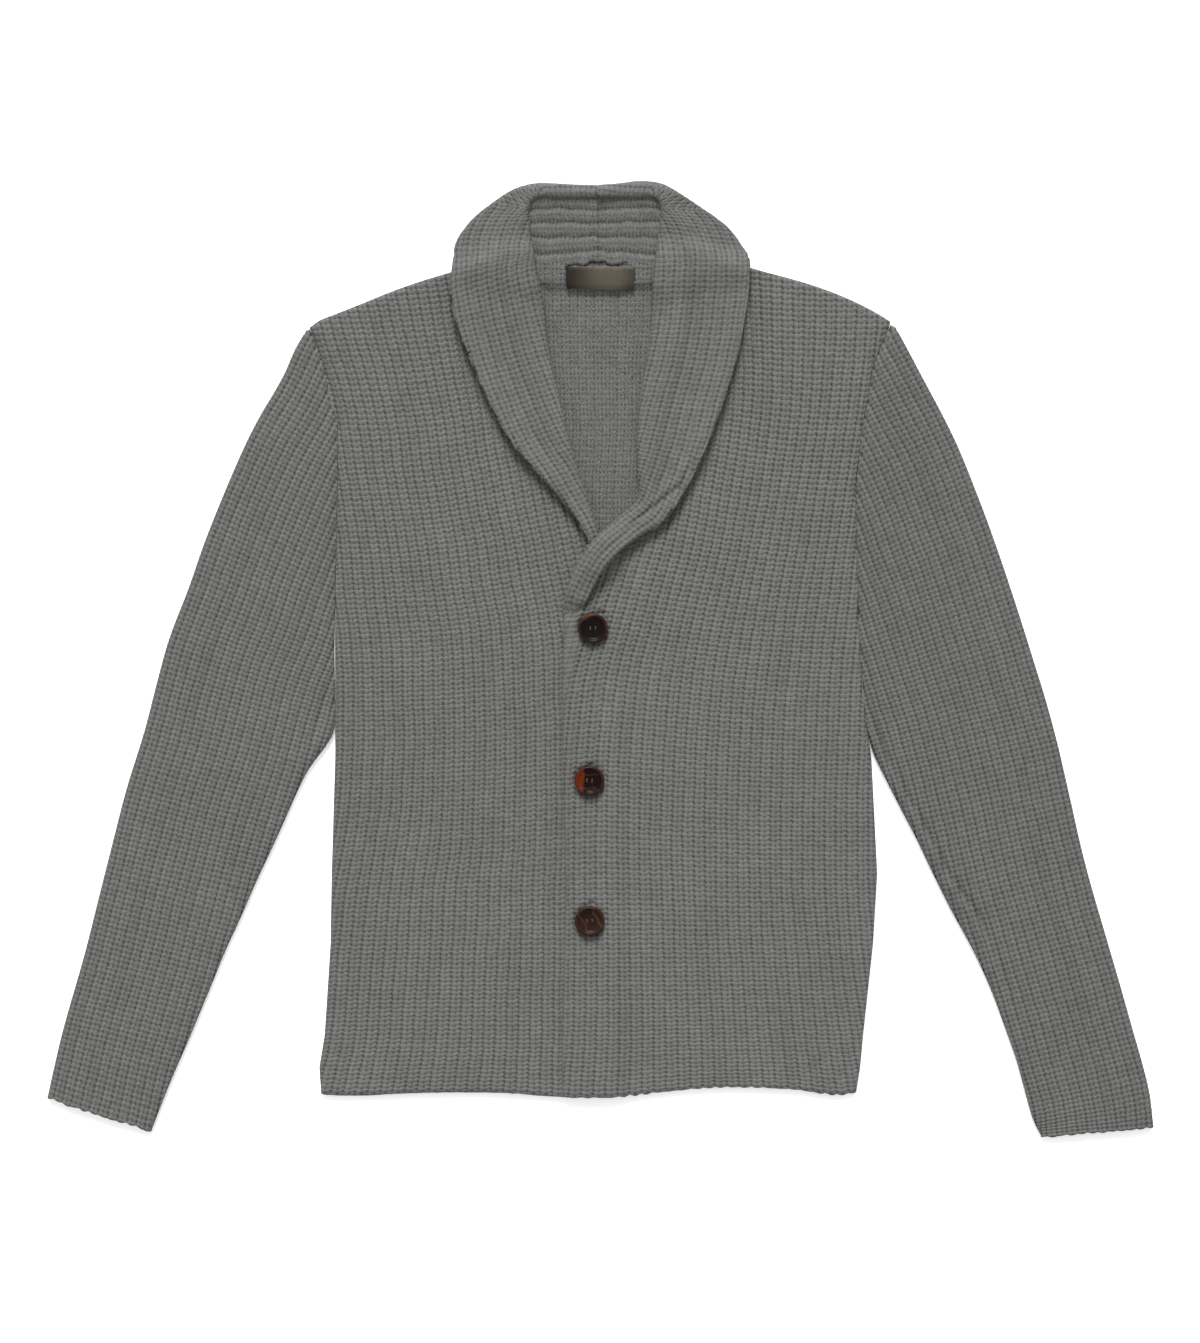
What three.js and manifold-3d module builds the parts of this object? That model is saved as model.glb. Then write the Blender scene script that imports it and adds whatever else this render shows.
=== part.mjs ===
// A shawl-collar cardigan blazer in chunky rib knit, buttoned and laid flat on its back.
// Millimetres, +Z up: the cloth lies on Z = 0, the collar is towards +Y and the wearer's left
// side is at +X. Every piece is a wall of knitted cloth that rests on the pieces under it.

import * as THREE from 'three';
import { mergeVertices } from 'three/addons/utils/BufferGeometryUtils.js';
import Module from 'manifold-3d';

const wasm = await Module();
wasm.setup();

// Cloth
const WALL = 4;                 // thickness of the knit
const GAP = 0.4;                // clearance at a seam and between two layers
const LIP = 1;                  // height of the square edge left where a side is rounded over
const HEM = -367;               // lower edge of the body
const SHOULDER_BOW = 8;         // how far a shoulder bulges above a straight line

// Closing: the wearer's left front lies over the right one.
const OVER_EDGE = -32;          // edge of the left front, which shows
const UNDER_EDGE = 15;          // edge of the right front, under it

// Buttons and buttonholes
const BUTTON = { radius: 12.7, thick: 4.6, rim: 1.6, dish: 1.3, holeRadius: 1.1, holePitch: 4.6 };
const BUTTONHOLE = { width: 2.2, length: 20, above: 4.5 };
const BUTTONS = [
  { name: 'button_top', x: -7.3, y: 27.1 },
  { name: 'button_middle', x: -10.2, y: -101.8 },
  { name: 'button_bottom', x: -10, y: -220.3 },
];

// Neck label, sewn inside the back just under the collar seam
const LABEL = { left: -31, right: 28.5, top: 334, bottom: 314, thick: 0.8 };

// Body: side seam and armhole on each side, from the hem to the shoulder point.
const SIDES = [
  { y: HEM, left: -238, right: 216 },
  { y: -345, left: -239.5, right: 219.5 },
  { y: -318, left: -235, right: 222 },
  { y: -240, left: -230, right: 230.5 },
  { y: -180, left: -229, right: 234 },
  { y: -82, left: -226, right: 229 },
  { y: -35, left: -226, right: 222 },
  { y: 51, left: -226, right: 217.5 },
  { y: 90, left: -225, right: 216.5 },
  { y: 143, left: -224, right: 215.5 },
  { y: 200, left: -223.5, right: 221 },
  { y: 222, left: -230, right: 226 },
  { y: 255, left: -237, right: 232 },
  { y: 285, left: -249, right: 245 },
];
const ARMPIT = 51;              // height where the armhole starts
const SHOULDER = 285;           // height of the shoulder points
const NECK_POINT = { y: 347, left: -82, right: 81 };
const BACK_NECK = { y: 336.8, half: 56 };

// Sleeves: the folded upper edge, and the height where a row across the sleeve meets the
// armhole, from the shoulder down to the armpit.
const RIGHT_CAP = [
  { x: -254.5, y: 276, innerY: 280 },
  { x: -260, y: 265, innerY: 255 },
  { x: -269.5, y: 243.5, innerY: 222 },
  { x: -277.8, y: 228.4, innerY: 200 },
  { x: -290.5, y: 207, innerY: 171 },
  { x: -303.2, y: 182, innerY: 143 },
  { x: -323.8, y: 134.4, innerY: 90 },
  { x: -338, y: 98.2, innerY: 51 },
];
const LEFT_CAP = [
  { x: 252.5, y: 278, innerY: 281 },
  { x: 257.7, y: 268.7, innerY: 255 },
  { x: 271, y: 243.5, innerY: 222 },
  { x: 280.8, y: 225.3, innerY: 200 },
  { x: 292, y: 204, innerY: 171 },
  { x: 302, y: 183.4, innerY: 143 },
  { x: 322.9, y: 136.3, innerY: 90 },
  { x: 338.7, y: 98.2, innerY: 51 },
];

// Below the armpit a row runs from the folded edge to the underarm seam.
const RIGHT_ARM = [
  { x: -349.8, y: 64.2, innerX: -227.6, innerY: 15 },
  { x: -367.6, y: 17.4, innerX: -228, innerY: -28.5 },
  { x: -378, y: -20, innerX: -232.5, innerY: -66 },
  { x: -388, y: -59, innerX: -250.3, innerY: -95 },
  { x: -403.3, y: -108.4, innerX: -272.4, innerY: -143 },
  { x: -415.2, y: -154.3, innerX: -291, innerY: -184 },
  { x: -427, y: -201, innerX: -312.4, innerY: -231 },
  { x: -438.2, y: -246, innerX: -330.2, innerY: -274 },
  { x: -458.6, y: -318.3, innerX: -360, innerY: -344 },
  { x: -469.6, y: -366, innerX: -381.2, innerY: -396.5 },
];
const LEFT_ARM = [
  { x: 357.4, y: 43, innerX: 222, innerY: -2 },
  { x: 370.2, y: 0.4, innerX: 226, innerY: -42 },
  { x: 378.7, y: -33.6, innerX: 231.5, innerY: -73 },
  { x: 387.2, y: -70, innerX: 244.4, innerY: -104 },
  { x: 395.7, y: -106.7, innerX: 260.5, innerY: -138 },
  { x: 411, y: -173, innerX: 292, innerY: -202 },
  { x: 430.5, y: -241, innerX: 326, innerY: -269 },
  { x: 450, y: -309, innerX: 350.6, innerY: -334.5 },
  { x: 465.4, y: -367.6, innerX: 365.9, innerY: -388 },
  { x: 468.8, y: -396.5, innerX: 373.6, innerY: -406 },
];

// Collar halves, from the lower front end to the shoulder. Each row crosses the collar from
// its seam on the neckline to the roll edge, and width is the fall's, from the roll outwards.
// sideY is where the front's own row through that seam point meets the armhole.
const LEFT_LAPEL = [
  { seamX: -25.5, seamY: 41.5, rollX: -33, rollY: 42, width: 14, sideY: 41.5 },
  { seamX: -23.3, seamY: 48, rollX: -32, rollY: 50, width: 17, sideY: 46 },
  { seamX: -20.8, seamY: 54.8, rollX: -30, rollY: 59, width: 20, sideY: 51 },
  { seamX: -6.4, seamY: 82.9, rollX: -16.6, rollY: 88.8, width: 23, sideY: 70 },
  { seamX: 9.8, seamY: 99.9, rollX: -0.4, rollY: 108.4, width: 24, sideY: 90 },
  { seamX: 25.9, seamY: 113.5, rollX: 14.9, rollY: 122, width: 26, sideY: 107 },
  { seamX: 39.5, seamY: 128, rollX: 29.5, rollY: 136, width: 30, sideY: 125 },
  { seamX: 41.6, seamY: 157.7, rollX: 30.2, rollY: 162, width: 45, sideY: 143 },
  { seamX: 45.5, seamY: 185.7, rollX: 30.2, rollY: 188.3, width: 59, sideY: 171 },
  { seamX: 51.4, seamY: 218, rollX: 31.9, rollY: 219.7, width: 70, sideY: 200 },
  { seamX: 62.5, seamY: 258.8, rollX: 38.7, rollY: 260.5, width: 77, sideY: 222 },
  { seamX: 70.1, seamY: 292.8, rollX: 42, rollY: 292, width: 81, sideY: 238 },
  { seamX: 76.9, seamY: 326.8, rollX: 43.8, rollY: 326.8, width: 82.5, sideY: 255 },
  { seamX: 79.8, seamY: 341.5, rollX: 45.5, rollY: 341, width: 80, sideY: 275 },
];
const RIGHT_LAPEL = [
  { seamX: 4, seamY: 57, rollX: 13, rollY: 60, width: 12, sideY: 51 },
  { seamX: -2, seamY: 84, rollX: 6.5, rollY: 86, width: 12, sideY: 70 },
  { seamX: -10.5, seamY: 108, rollX: -2.5, rollY: 111, width: 12, sideY: 90 },
  { seamX: -19, seamY: 133, rollX: -11, rollY: 136.5, width: 20, sideY: 116 },
  { seamX: -31.5, seamY: 162, rollX: -20.8, rollY: 166, width: 32, sideY: 143 },
  { seamX: -42, seamY: 187.5, rollX: -28.5, rollY: 192.5, width: 46, sideY: 171 },
  { seamX: -54.8, seamY: 224.8, rollX: -37, rollY: 230, width: 59, sideY: 200 },
  { seamX: -67.6, seamY: 264, rollX: -45.5, rollY: 269, width: 68, sideY: 222 },
  { seamX: -76, seamY: 296, rollX: -48.9, rollY: 302, width: 77, sideY: 238 },
  { seamX: -81, seamY: 326.8, rollX: -55.5, rollY: 334, width: 76, sideY: 255 },
  { seamX: -81.5, seamY: 345.5, rollX: -57, rollY: 347, width: 69, sideY: 275 },
];

// From the shoulder to the centre back a row crosses the roll to the fold, the outline where
// the fall turns under, and then heads for the edge point on the underside.
const LEFT_NAPE = [
  { rollX: 47.2, rollY: 353.2, foldX: 122.3, foldY: 348, edgeX: 119, edgeY: 338 },
  { rollX: 49.7, rollY: 372.7, foldX: 106.7, foldY: 368.5, edgeX: 109, edgeY: 341 },
  { rollX: 50.5, rollY: 384, foldX: 88, foldY: 382.5, edgeX: 98, edgeY: 337 },
  { rollX: 48, rollY: 390, foldX: 70.5, foldY: 394, edgeX: 84, edgeY: 332 },
  { rollX: 42, rollY: 391, foldX: 51, foldY: 404.5, edgeX: 62, edgeY: 326 },
  { rollX: 28, rollY: 391, foldX: 32, foldY: 406.5, edgeX: 36, edgeY: 323 },
  { rollX: 13, rollY: 391, foldX: 14, foldY: 404.5, edgeX: 15, edgeY: 321 },
  { rollX: -2.8, rollY: 391, foldX: -2.8, foldY: 403, edgeX: -2.8, edgeY: 320 },
];
const RIGHT_NAPE = [
  { rollX: -58.2, rollY: 353, foldX: -124.5, foldY: 353, edgeX: -122, edgeY: 341 },
  { rollX: -60.8, rollY: 372.7, foldX: -111, foldY: 373.5, edgeX: -111, edgeY: 341 },
  { rollX: -61.5, rollY: 384, foldX: -91.4, foldY: 389.7, edgeX: -100, edgeY: 337 },
  { rollX: -58.5, rollY: 390, foldX: -74.4, foldY: 400, edgeX: -86, edgeY: 332 },
  { rollX: -52, rollY: 391, foldX: -57, foldY: 404.6, edgeX: -66, edgeY: 326 },
  { rollX: -38, rollY: 391, foldX: -42, foldY: 404.6, edgeX: -42, edgeY: 323 },
  { rollX: -21, rollY: 391, foldX: -22, foldY: 403.5, edgeX: -22, edgeY: 321 },
  { rollX: -3.2, rollY: 391, foldX: -3.2, foldY: 403, edgeX: -3.2, edgeY: 320 },
];

// The collar's stand round the back of the neck, from its fold at the neck point to the centre
// back: its seam on the back neckline, and its top, which runs under the roll.
const LEFT_STAND = [
  { seamX: 79, seamY: 349, topX: 60, topY: 378 },
  { seamX: 68, seamY: 344, topX: 57, topY: 392 },
  { seamX: 56, seamY: 338.5, topX: 47, topY: 400 },
  { seamX: 37, seamY: 337.2, topX: 30, topY: 403 },
  { seamX: 17, seamY: 337.2, topX: 14, topY: 401.5 },
  { seamX: -2.8, seamY: 337.2, topX: -2.8, topY: 400 },
];
const RIGHT_STAND = [
  { seamX: -80, seamY: 349, topX: -68, topY: 378 },
  { seamX: -70, seamY: 344, topX: -64, topY: 392 },
  { seamX: -56, seamY: 338.5, topX: -54, topY: 400 },
  { seamX: -40, seamY: 337.2, topX: -40, topY: 401.5 },
  { seamX: -22, seamY: 337.2, topX: -22, topY: 400.5 },
  { seamX: -3.2, seamY: 337.2, topX: -3.2, topY: 400 },
];

// --- small tools --------------------------------------------------------------------------

const { clamp, lerp, mapLinear } = THREE.MathUtils;

// The value of one column of a table at a height, read straight between its rows.
function across(rows, y, column) {
  if (y <= rows[0].y) return rows[0][column];
  for (let i = 1; i < rows.length; i++) {
    const [a, b] = [rows[i - 1], rows[i]];
    if (y <= b.y) return mapLinear(y, a.y, b.y, a[column], b[column]);
  }
  return rows.at(-1)[column];
}

// Even steps from one number to another, both of these left out.
function steps(from, to, count) {
  return Array.from({ length: count - 1 }, (_, i) => lerp(from, to, (i + 1) / count));
}

// The share of a wall's height left at a distance from an edge that is rounded over.
function roundShare(distance) {
  const inside = clamp(distance / WALL, 0, 1);
  return Math.sqrt(1 - (1 - inside) ** 2);
}

// Height left of the wall near an edge where it is rounded over on one face only.
const rounded = (distance) => LIP + (WALL - LIP) * roundShare(distance);

// A closed wall between two faces of matching rows and columns of points. On the upper face
// the columns cross the rows so that their product looks outwards.
function wallBetween(upper, lower) {
  const [rows, columns] = [upper.length, upper[0].length];
  const at = (i, j) => i * columns + j;
  const under = (i, j) => (rows + i) * columns + j;
  const faces = [];
  const quad = (a, b, c, d) => faces.push(a, b, c, a, c, d);
  for (let i = 0; i + 1 < rows; i++) {
    for (let j = 0; j + 1 < columns; j++) {
      quad(at(i, j), at(i, j + 1), at(i + 1, j + 1), at(i + 1, j));
      quad(under(i, j), under(i + 1, j), under(i + 1, j + 1), under(i, j + 1));
    }
    const last = columns - 1;
    quad(at(i, 0), at(i + 1, 0), under(i + 1, 0), under(i, 0));
    quad(at(i + 1, last), at(i, last), under(i, last), under(i + 1, last));
  }
  for (let j = 0; j + 1 < columns; j++) {
    const last = rows - 1;
    quad(at(0, j + 1), at(0, j), under(0, j), under(0, j + 1));
    quad(at(last, j), at(last, j + 1), under(last, j + 1), under(last, j));
  }
  const geometry = new THREE.BufferGeometry().setFromPoints([...upper.flat(), ...lower.flat()]);
  geometry.setIndex(faces);
  return geometry;
}

// A plate of cloth from rows of { x, y, low, high }, whichever way its columns run.
function plate(rows) {
  const [a, b, c] = [rows[0][0], rows[0].at(-1), rows.at(-1)[0]];
  const turns = (b.x - a.x) * (c.y - a.y) - (b.y - a.y) * (c.x - a.x);
  const ordered = turns > 0 ? rows : rows.map((row) => [...row].reverse());
  const at = (p, height) => new THREE.Vector3(p.x, p.y, p[height]);
  const face = (height) => ordered.map((row) => row.map((p) => at(p, height)));
  return wallBetween(face('high'), face('low'));
}

// A geometry as a solid to join or cut, and back again.
function solid(geometry) {
  const bare = geometry.clone();
  bare.deleteAttribute('normal');
  bare.deleteAttribute('uv');
  const merged = mergeVertices(bare, 1e-4);
  return new wasm.Manifold(new wasm.Mesh({
    numProp: 3,
    vertProperties: merged.attributes.position.array,
    triVerts: new Uint32Array(merged.index.array),
  }));
}

function fromSolid(made) {
  const mesh = made.getMesh();
  const geometry = new THREE.BufferGeometry();
  geometry.setAttribute('position', new THREE.BufferAttribute(mesh.vertProperties, 3));
  geometry.setIndex(new THREE.BufferAttribute(mesh.triVerts, 1));
  return geometry;
}

// --- the pile of cloth --------------------------------------------------------------------

// How high the cloth already laid down stands at each point, kept on a square grid.
class Pile {
  constructor(halfWidth = 300, halfDepth = 420, cell = 3) {
    this.halfWidth = halfWidth;
    this.halfDepth = halfDepth;
    this.cell = cell;
    this.columns = Math.ceil((2 * halfWidth) / cell) + 1;
    this.rows = Math.ceil((2 * halfDepth) / cell) + 1;
    this.height = new Float32Array(this.columns * this.rows);
  }

  column(x) {
    return clamp((x + this.halfWidth) / this.cell, 0, this.columns - 1);
  }

  row(y) {
    return clamp((y + this.halfDepth) / this.cell, 0, this.rows - 1);
  }

  // Lays a sheet on the pile: rows of { x, y, high }.
  lay(rows) {
    for (let i = 0; i + 1 < rows.length; i++) {
      for (let j = 0; j + 1 < rows[i].length; j++) {
        const [a, b, c, d] = [rows[i][j], rows[i][j + 1], rows[i + 1][j + 1], rows[i + 1][j]];
        this.layTriangle(a, b, c);
        this.layTriangle(a, c, d);
      }
    }
  }

  layTriangle(a, b, c) {
    const area = (b.x - a.x) * (c.y - a.y) - (c.x - a.x) * (b.y - a.y);
    if (Math.abs(area) < 1e-6) return;
    const [xs, ys] = [[a.x, b.x, c.x], [a.y, b.y, c.y]];
    for (let r = Math.floor(this.row(Math.min(...ys))); r <= this.row(Math.max(...ys)) + 1; r++) {
      const end = this.column(Math.max(...xs)) + 1;
      for (let k = Math.floor(this.column(Math.min(...xs))); k <= end; k++) {
        const x = k * this.cell - this.halfWidth;
        const y = r * this.cell - this.halfDepth;
        const toB = ((x - a.x) * (c.y - a.y) - (c.x - a.x) * (y - a.y)) / area;
        const toC = ((b.x - a.x) * (y - a.y) - (x - a.x) * (b.y - a.y)) / area;
        if (toB < -0.05 || toC < -0.05 || toB + toC > 1.05) continue;
        const high = a.high + toB * (b.high - a.high) + toC * (c.high - a.high);
        const at = r * this.columns + k;
        this.height[at] = Math.max(this.height[at], high);
      }
    }
  }

  // The height where cloth comes to rest at a point: just above all that lies within reach.
  seat(x, y, reachX, reachY) {
    let top = 0;
    for (let r = Math.floor(this.row(y - reachY)); r <= this.row(y + reachY) + 1; r++) {
      for (let k = Math.floor(this.column(x - reachX)); k <= this.column(x + reachX) + 1; k++) {
        top = Math.max(top, this.height[r * this.columns + k] ?? 0);
      }
    }
    return top > 0 ? top + GAP : 0;
  }

  // Seats for rows of points, each reaching as far as the points next to it.
  seats(rows) {
    const reach = (i, j, axis) => {
      let far = 0;
      for (const row of rows.slice(Math.max(i - 1, 0), i + 2)) {
        for (const p of row.slice(Math.max(j - 1, 0), j + 2)) {
          far = Math.max(far, Math.abs(p[axis] - rows[i][j][axis]));
        }
      }
      return far;
    };
    const seatOf = (p, i, j) => this.seat(p.x, p.y, reach(i, j, 'x'), reach(i, j, 'y'));
    return rows.map((row, i) => row.map((p, j) => seatOf(p, i, j)));
  }
}

// --- body ---------------------------------------------------------------------------------

// Heights of the rows below the armpit, with the turns of the side seam among them.
const LOW_ROWS = [HEM, -345, -318, -279, -240, -180, -131, -82, -35, 8, 22, 31];

// The height of the back's top edge: two bowed shoulders and the shallow neck between them.
function backTop(x) {
  const side = x < 0 ? 'left' : 'right';
  const [inner, outer] = [NECK_POINT[side], SIDES.at(-1)[side]];
  const along = (x - inner) / (outer - inner);
  if (along >= 0) return lerp(NECK_POINT.y, SHOULDER, along) + SHOULDER_BOW * 4 * along * (1 - along);
  if (Math.abs(x) <= BACK_NECK.half) return BACK_NECK.y;
  return mapLinear(Math.abs(x), BACK_NECK.half, Math.abs(inner), BACK_NECK.y, NECK_POINT.y);
}

// The back: one panel from side seam to side seam, rounded over underneath along its outline.
function makeBack(pile) {
  const shares = [0, 0.0032, 0.0081, 0.07, 0.14, 0.21, 0.28, 0.338, 0.391, 0.45, 0.504];
  const columns = [...shares, 0.56, 0.617, 0.668, 0.73, 0.8, 0.87, 0.935, 0.9919, 0.9968, 1];
  const base = 222;
  const rises = [0.25, 0.524, 0.8, 1 - WALL / 100, 1 - (0.4 * WALL) / 100, 1];
  const levels = [...LOW_ROWS, ARMPIT, 90, 143, 171, 200, base].map((y) => ({ sideY: y, rise: 0 }));
  levels.push(...rises.map((rise) => ({ sideY: lerp(base, SHOULDER, rise), rise })));
  const rows = levels.map(({ sideY, rise }) => {
    const [left, right] = [across(SIDES, sideY, 'left'), across(SIDES, sideY, 'right')];
    return columns.map((share) => {
      const x = lerp(left, right, share);
      const top = backTop(x);
      const y = rise > 0 ? lerp(base, top, rise) : sideY;
      const toSide = sideY > ARMPIT ? WALL : Math.min(share, 1 - share) * (right - left);
      return { x, y, edge: Math.min(toSide, top - y) };
    });
  });
  const seats = pile.seats(rows);
  rows.forEach((row, i) => row.forEach((p, j) => {
    p.low = seats[i][j] + WALL - rounded(p.edge);
    p.high = seats[i][j] + WALL;
  }));
  return rows;
}

// A front: rows run from the front edge or the neckline seam out to the side and the armhole.
function frontPlan(lapel, side) {
  const tableSide = side === 'left' ? 'right' : 'left';
  const edge = side === 'left' ? OVER_EDGE : UNDER_EDGE;
  const start = lapel[0].seamY - 1.5;
  const lines = LOW_ROWS.map((y) => ({ innerX: edge, innerY: y, sideY: y }));
  lines.push({ innerX: edge, innerY: start, sideY: Math.min(start, ARMPIT - 2) });
  for (const { seamX, seamY, rollX, rollY, sideY } of lapel) {
    const clear = (1.5 * GAP) / Math.hypot(seamX - rollX, seamY - rollY);
    lines.push({
      innerX: seamX + clear * (seamX - rollX),
      innerY: seamY + clear * (seamY - rollY),
      sideY,
    });
  }
  const top = { innerX: NECK_POINT[tableSide], innerY: NECK_POINT.y, sideY: SHOULDER };
  const last = lines.at(-1);
  for (const distance of [WALL, 0.4 * WALL, 0]) {
    const share = 1 - distance / (SHOULDER - last.sideY);
    lines.push({
      innerX: lerp(last.innerX, top.innerX, share),
      innerY: lerp(last.innerY, top.innerY, share),
      sideY: lerp(last.sideY, top.sideY, share),
      toTop: distance,
    });
  }
  return lines.map(({ innerX, innerY, sideY, toTop = WALL }) => {
    const sideX = across(SIDES, sideY, tableSide);
    const width = Math.abs(sideX - innerX);
    const lift = SHOULDER_BOW * clamp((sideY - ARMPIT) / (SHOULDER - ARMPIT), 0, 1) ** 3;
    const overlap = Math.abs(OVER_EDGE - UNDER_EDGE) / width;
    const shares = side === 'left'
      ? [0, 0.5 * overlap, overlap + 0.01, overlap + 0.11,
        ...steps(overlap + 0.11, 1 - WALL / width, 6)]
      : [0, 0.5 * overlap, ...steps(0.5 * overlap, 1 - WALL / width, 8)];
    shares.push(1 - WALL / width, 1 - (0.4 * WALL) / width, 1);
    return shares.map((share) => ({
      x: lerp(innerX, sideX, share),
      y: lerp(innerY, sideY, share) + lift * 4 * share * (1 - share),
      edge: Math.min(toTop, sideY > ARMPIT ? WALL : (1 - share) * width),
    }));
  });
}

function layFront(pile, plan) {
  const seats = pile.seats(plan);
  return plan.map((row, i) => row.map((p, j) => ({
    ...p,
    low: seats[i][j],
    high: seats[i][j] + rounded(p.edge),
  })));
}

// --- sleeves ------------------------------------------------------------------------------

// A sleeve is one piece folded along its upper edge, so that two plies lie on each other. Its
// long edges meet in the underarm seam, and its cap ends on the armhole.
function makeSleeve(cap, arm, side) {
  const bodySide = side < 0 ? 'left' : 'right';
  const seam = side * GAP;
  const rows = cap.map((r) => (
    { ...r, innerX: across(SIDES, r.innerY, bodySide) + seam, onBody: true }));
  rows.push(...arm);
  const outerRadius = WALL + GAP / 2;
  const innerRadius = GAP / 2;
  const faces = { outside: [], inside: [] };
  for (const r of rows) {
    const fold = new THREE.Vector2(r.x, r.y);
    const inner = new THREE.Vector2(r.innerX, r.innerY);
    const width = fold.distanceTo(inner);
    const along = inner.clone().sub(fold).divideScalar(width);
    const near = Math.min(1, (width - outerRadius) / (2 * WALL));
    const round = [0, 0.4 * WALL * near, WALL * near];
    const flat = [...round, ...steps(WALL * near, width - outerRadius, 4), width - outerRadius];
    const ply = flat.map((edge) => {
      const left = r.onBody ? WALL : rounded(edge);
      return { reach: width - edge, out: GAP / 2 + left, in: GAP / 2 };
    });
    const bend = [45, 90, 135].map((degrees) => THREE.MathUtils.degToRad(degrees));
    const point = (reach, z) => new THREE.Vector3(
      fold.x + along.x * reach, fold.y + along.y * reach, outerRadius + z);
    const arc = (radius) => bend.map(
      (a) => point(outerRadius - radius * Math.sin(a), radius * Math.cos(a)));
    const line = (key, up) => ply.map((p) => point(p.reach, up * p[key]));
    const outside = [...line('out', 1), ...arc(outerRadius), ...line('out', -1).reverse()];
    const inside = [...line('in', 1), ...arc(innerRadius), ...line('in', -1).reverse()];
    faces.outside.push(side < 0 ? outside : outside.reverse());
    faces.inside.push(side < 0 ? inside : inside.reverse());
  }
  return wallBetween(faces.outside, faces.inside);
}

// --- collar -------------------------------------------------------------------------------

// Points across the upper part of a collar half, row by row from its lower end to the centre
// back. stand says which points lie over the stand that is folded under the fall.
function collarPlan(lapel, nape) {
  const crossing = (from, to, reaches) => {
    const start = new THREE.Vector2(...from);
    const way = new THREE.Vector2(...to).sub(start);
    const length = way.length();
    return reaches(length).map((reach) => ({
      x: start.x + (way.x * reach) / length,
      y: start.y + (way.y * reach) / length,
      reach,
      toFold: length - reach,
    }));
  };
  const front = lapel.map((r) => crossing([r.rollX, r.rollY], [r.seamX, r.seamY], (toSeam) => {
    const onStand = toSeam - 3 * GAP;
    return [0, 0.4 * WALL, WALL, onStand, toSeam, ...steps(toSeam, r.width, 4), r.width];
  }).map((p, j) => ({ ...p, stand: j < 4 })));
  const last = lapel.at(-1);
  const share = Math.hypot(last.seamX - last.rollX, last.seamY - last.rollY) / last.width;
  const back = nape.map((r, i) => crossing([r.rollX, r.rollY], [r.foldX, r.foldY], (length) => {
    const wall = length - WALL;
    const seam = Math.max(share * length, WALL + 4 * GAP);
    return [0, 0.4 * WALL, WALL, seam - 3 * GAP, seam,
      wall - 0.6, wall, length - 0.4 * WALL, length];
  }).map((p, j) => {
    const ridge = Math.hypot(r.foldX - r.rollX, r.foldY - r.rollY) < 20;
    return { ...p, wrap: i > 0 && j > 5, ridge };
  }));
  return { front, back };
}

// The underside of the fall round the back of the neck: it lies flat on the table.
function underFall(nape) {
  return nape.map((r) => {
    const way = new THREE.Vector2(r.foldX - r.rollX, r.foldY - r.rollY).normalize();
    const [startX, startY] = [r.foldX - 1.5 * way.x, r.foldY - 1.5 * way.y];
    return [0, 0.25, 0.6, 1].map((share) => ({
      x: lerp(startX, r.edgeX, share),
      y: lerp(startY, r.edgeY, share),
      low: 0,
      high: WALL,
    }));
  });
}

// The stand behind the neck, a plate from its seam up to the roll.
function standPlan(stand) {
  return stand.map((r) => [0, 0.3, 0.65, 1].map((share) => ({
    x: lerp(r.seamX, r.topX, share),
    y: lerp(r.seamY, r.topY, share),
  })));
}

function layPlate(pile, plan, thick = WALL) {
  const seats = pile.seats(plan);
  return plan.map((row, i) => row.map((p, j) => (
    { ...p, low: seats[i][j], high: seats[i][j] + thick })));
}

// One side of the garment from the pile up: its front, then the collar half folded over it.
function laySide(pile, lapel, nape, side) {
  const { front, back } = collarPlan(lapel, nape);
  const plan = [...front, ...back];
  const standSeats = pile.seats(plan);
  const panel = layFront(pile, frontPlan(lapel, side));
  pile.lay(panel);
  const hiddenStand = front.map((row, i) => row.slice(0, 4).map((p, j) => (
    { ...p, high: standSeats[i][j] + WALL })));
  pile.lay(hiddenStand);
  const seats = pile.seats(plan);
  const fall = plan.map((row, i) => row.map((p, j) => {
    const high = seats[i][j] + WALL;
    const onStand = p.stand || p.ridge;
    const low = p.wrap ? 0 : onStand ? standSeats[i][j] + (p.ridge ? -LIP : 0) : seats[i][j];
    const share = Math.min(roundShare(p.reach), p.wrap ? roundShare(p.toFold) : 1);
    const [middle, half] = [(high + low) / 2, Math.max((high - low) / 2 * share, LIP / 2)];
    const keepsLow = !p.wrap && !p.stand;
    if (keepsLow) return { ...p, low, high: Math.max(middle + half, low + LIP) };
    return { ...p, low: middle - half, high: middle + half };
  }));
  pile.lay(fall.slice(0, front.length));
  return { panel, fall };
}

// --- trims --------------------------------------------------------------------------------

function makeLabel(pile) {
  const xs = [LABEL.left, ...steps(LABEL.left, LABEL.right, 4), LABEL.right];
  const ys = [LABEL.bottom, (LABEL.bottom + LABEL.top) / 2, LABEL.top];
  return layPlate(pile, ys.map((y) => xs.map((x) => ({ x, y }))), LABEL.thick);
}

// A four-hole button with a raised rim round a dished centre, turned about its axis.
function makeButton() {
  const { radius, thick, rim, dish, holeRadius, holePitch } = BUTTON;
  const profile = [
    [0, 0], [radius * 0.8, 0], [radius, thick * 0.4], [radius, thick * 0.75],
    [radius - rim * 0.5, thick], [radius - rim, thick], [radius - 2 * rim, thick - dish],
    [0, thick - dish],
  ].map(([r, z]) => new THREE.Vector2(r, z));
  const turned = new THREE.LatheGeometry(profile, 24).rotateX(Math.PI / 2);
  const drill = new THREE.CylinderGeometry(holeRadius, holeRadius, 3 * thick, 10).rotateX(Math.PI / 2);
  let button = solid(turned);
  for (const [i, j] of [[-1, -1], [-1, 1], [1, -1], [1, 1]]) {
    const hole = drill.clone().translate((i * holePitch) / 2, (j * holePitch) / 2, 0);
    button = button.subtract(solid(hole));
  }
  return fromSolid(button);
}

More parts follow.
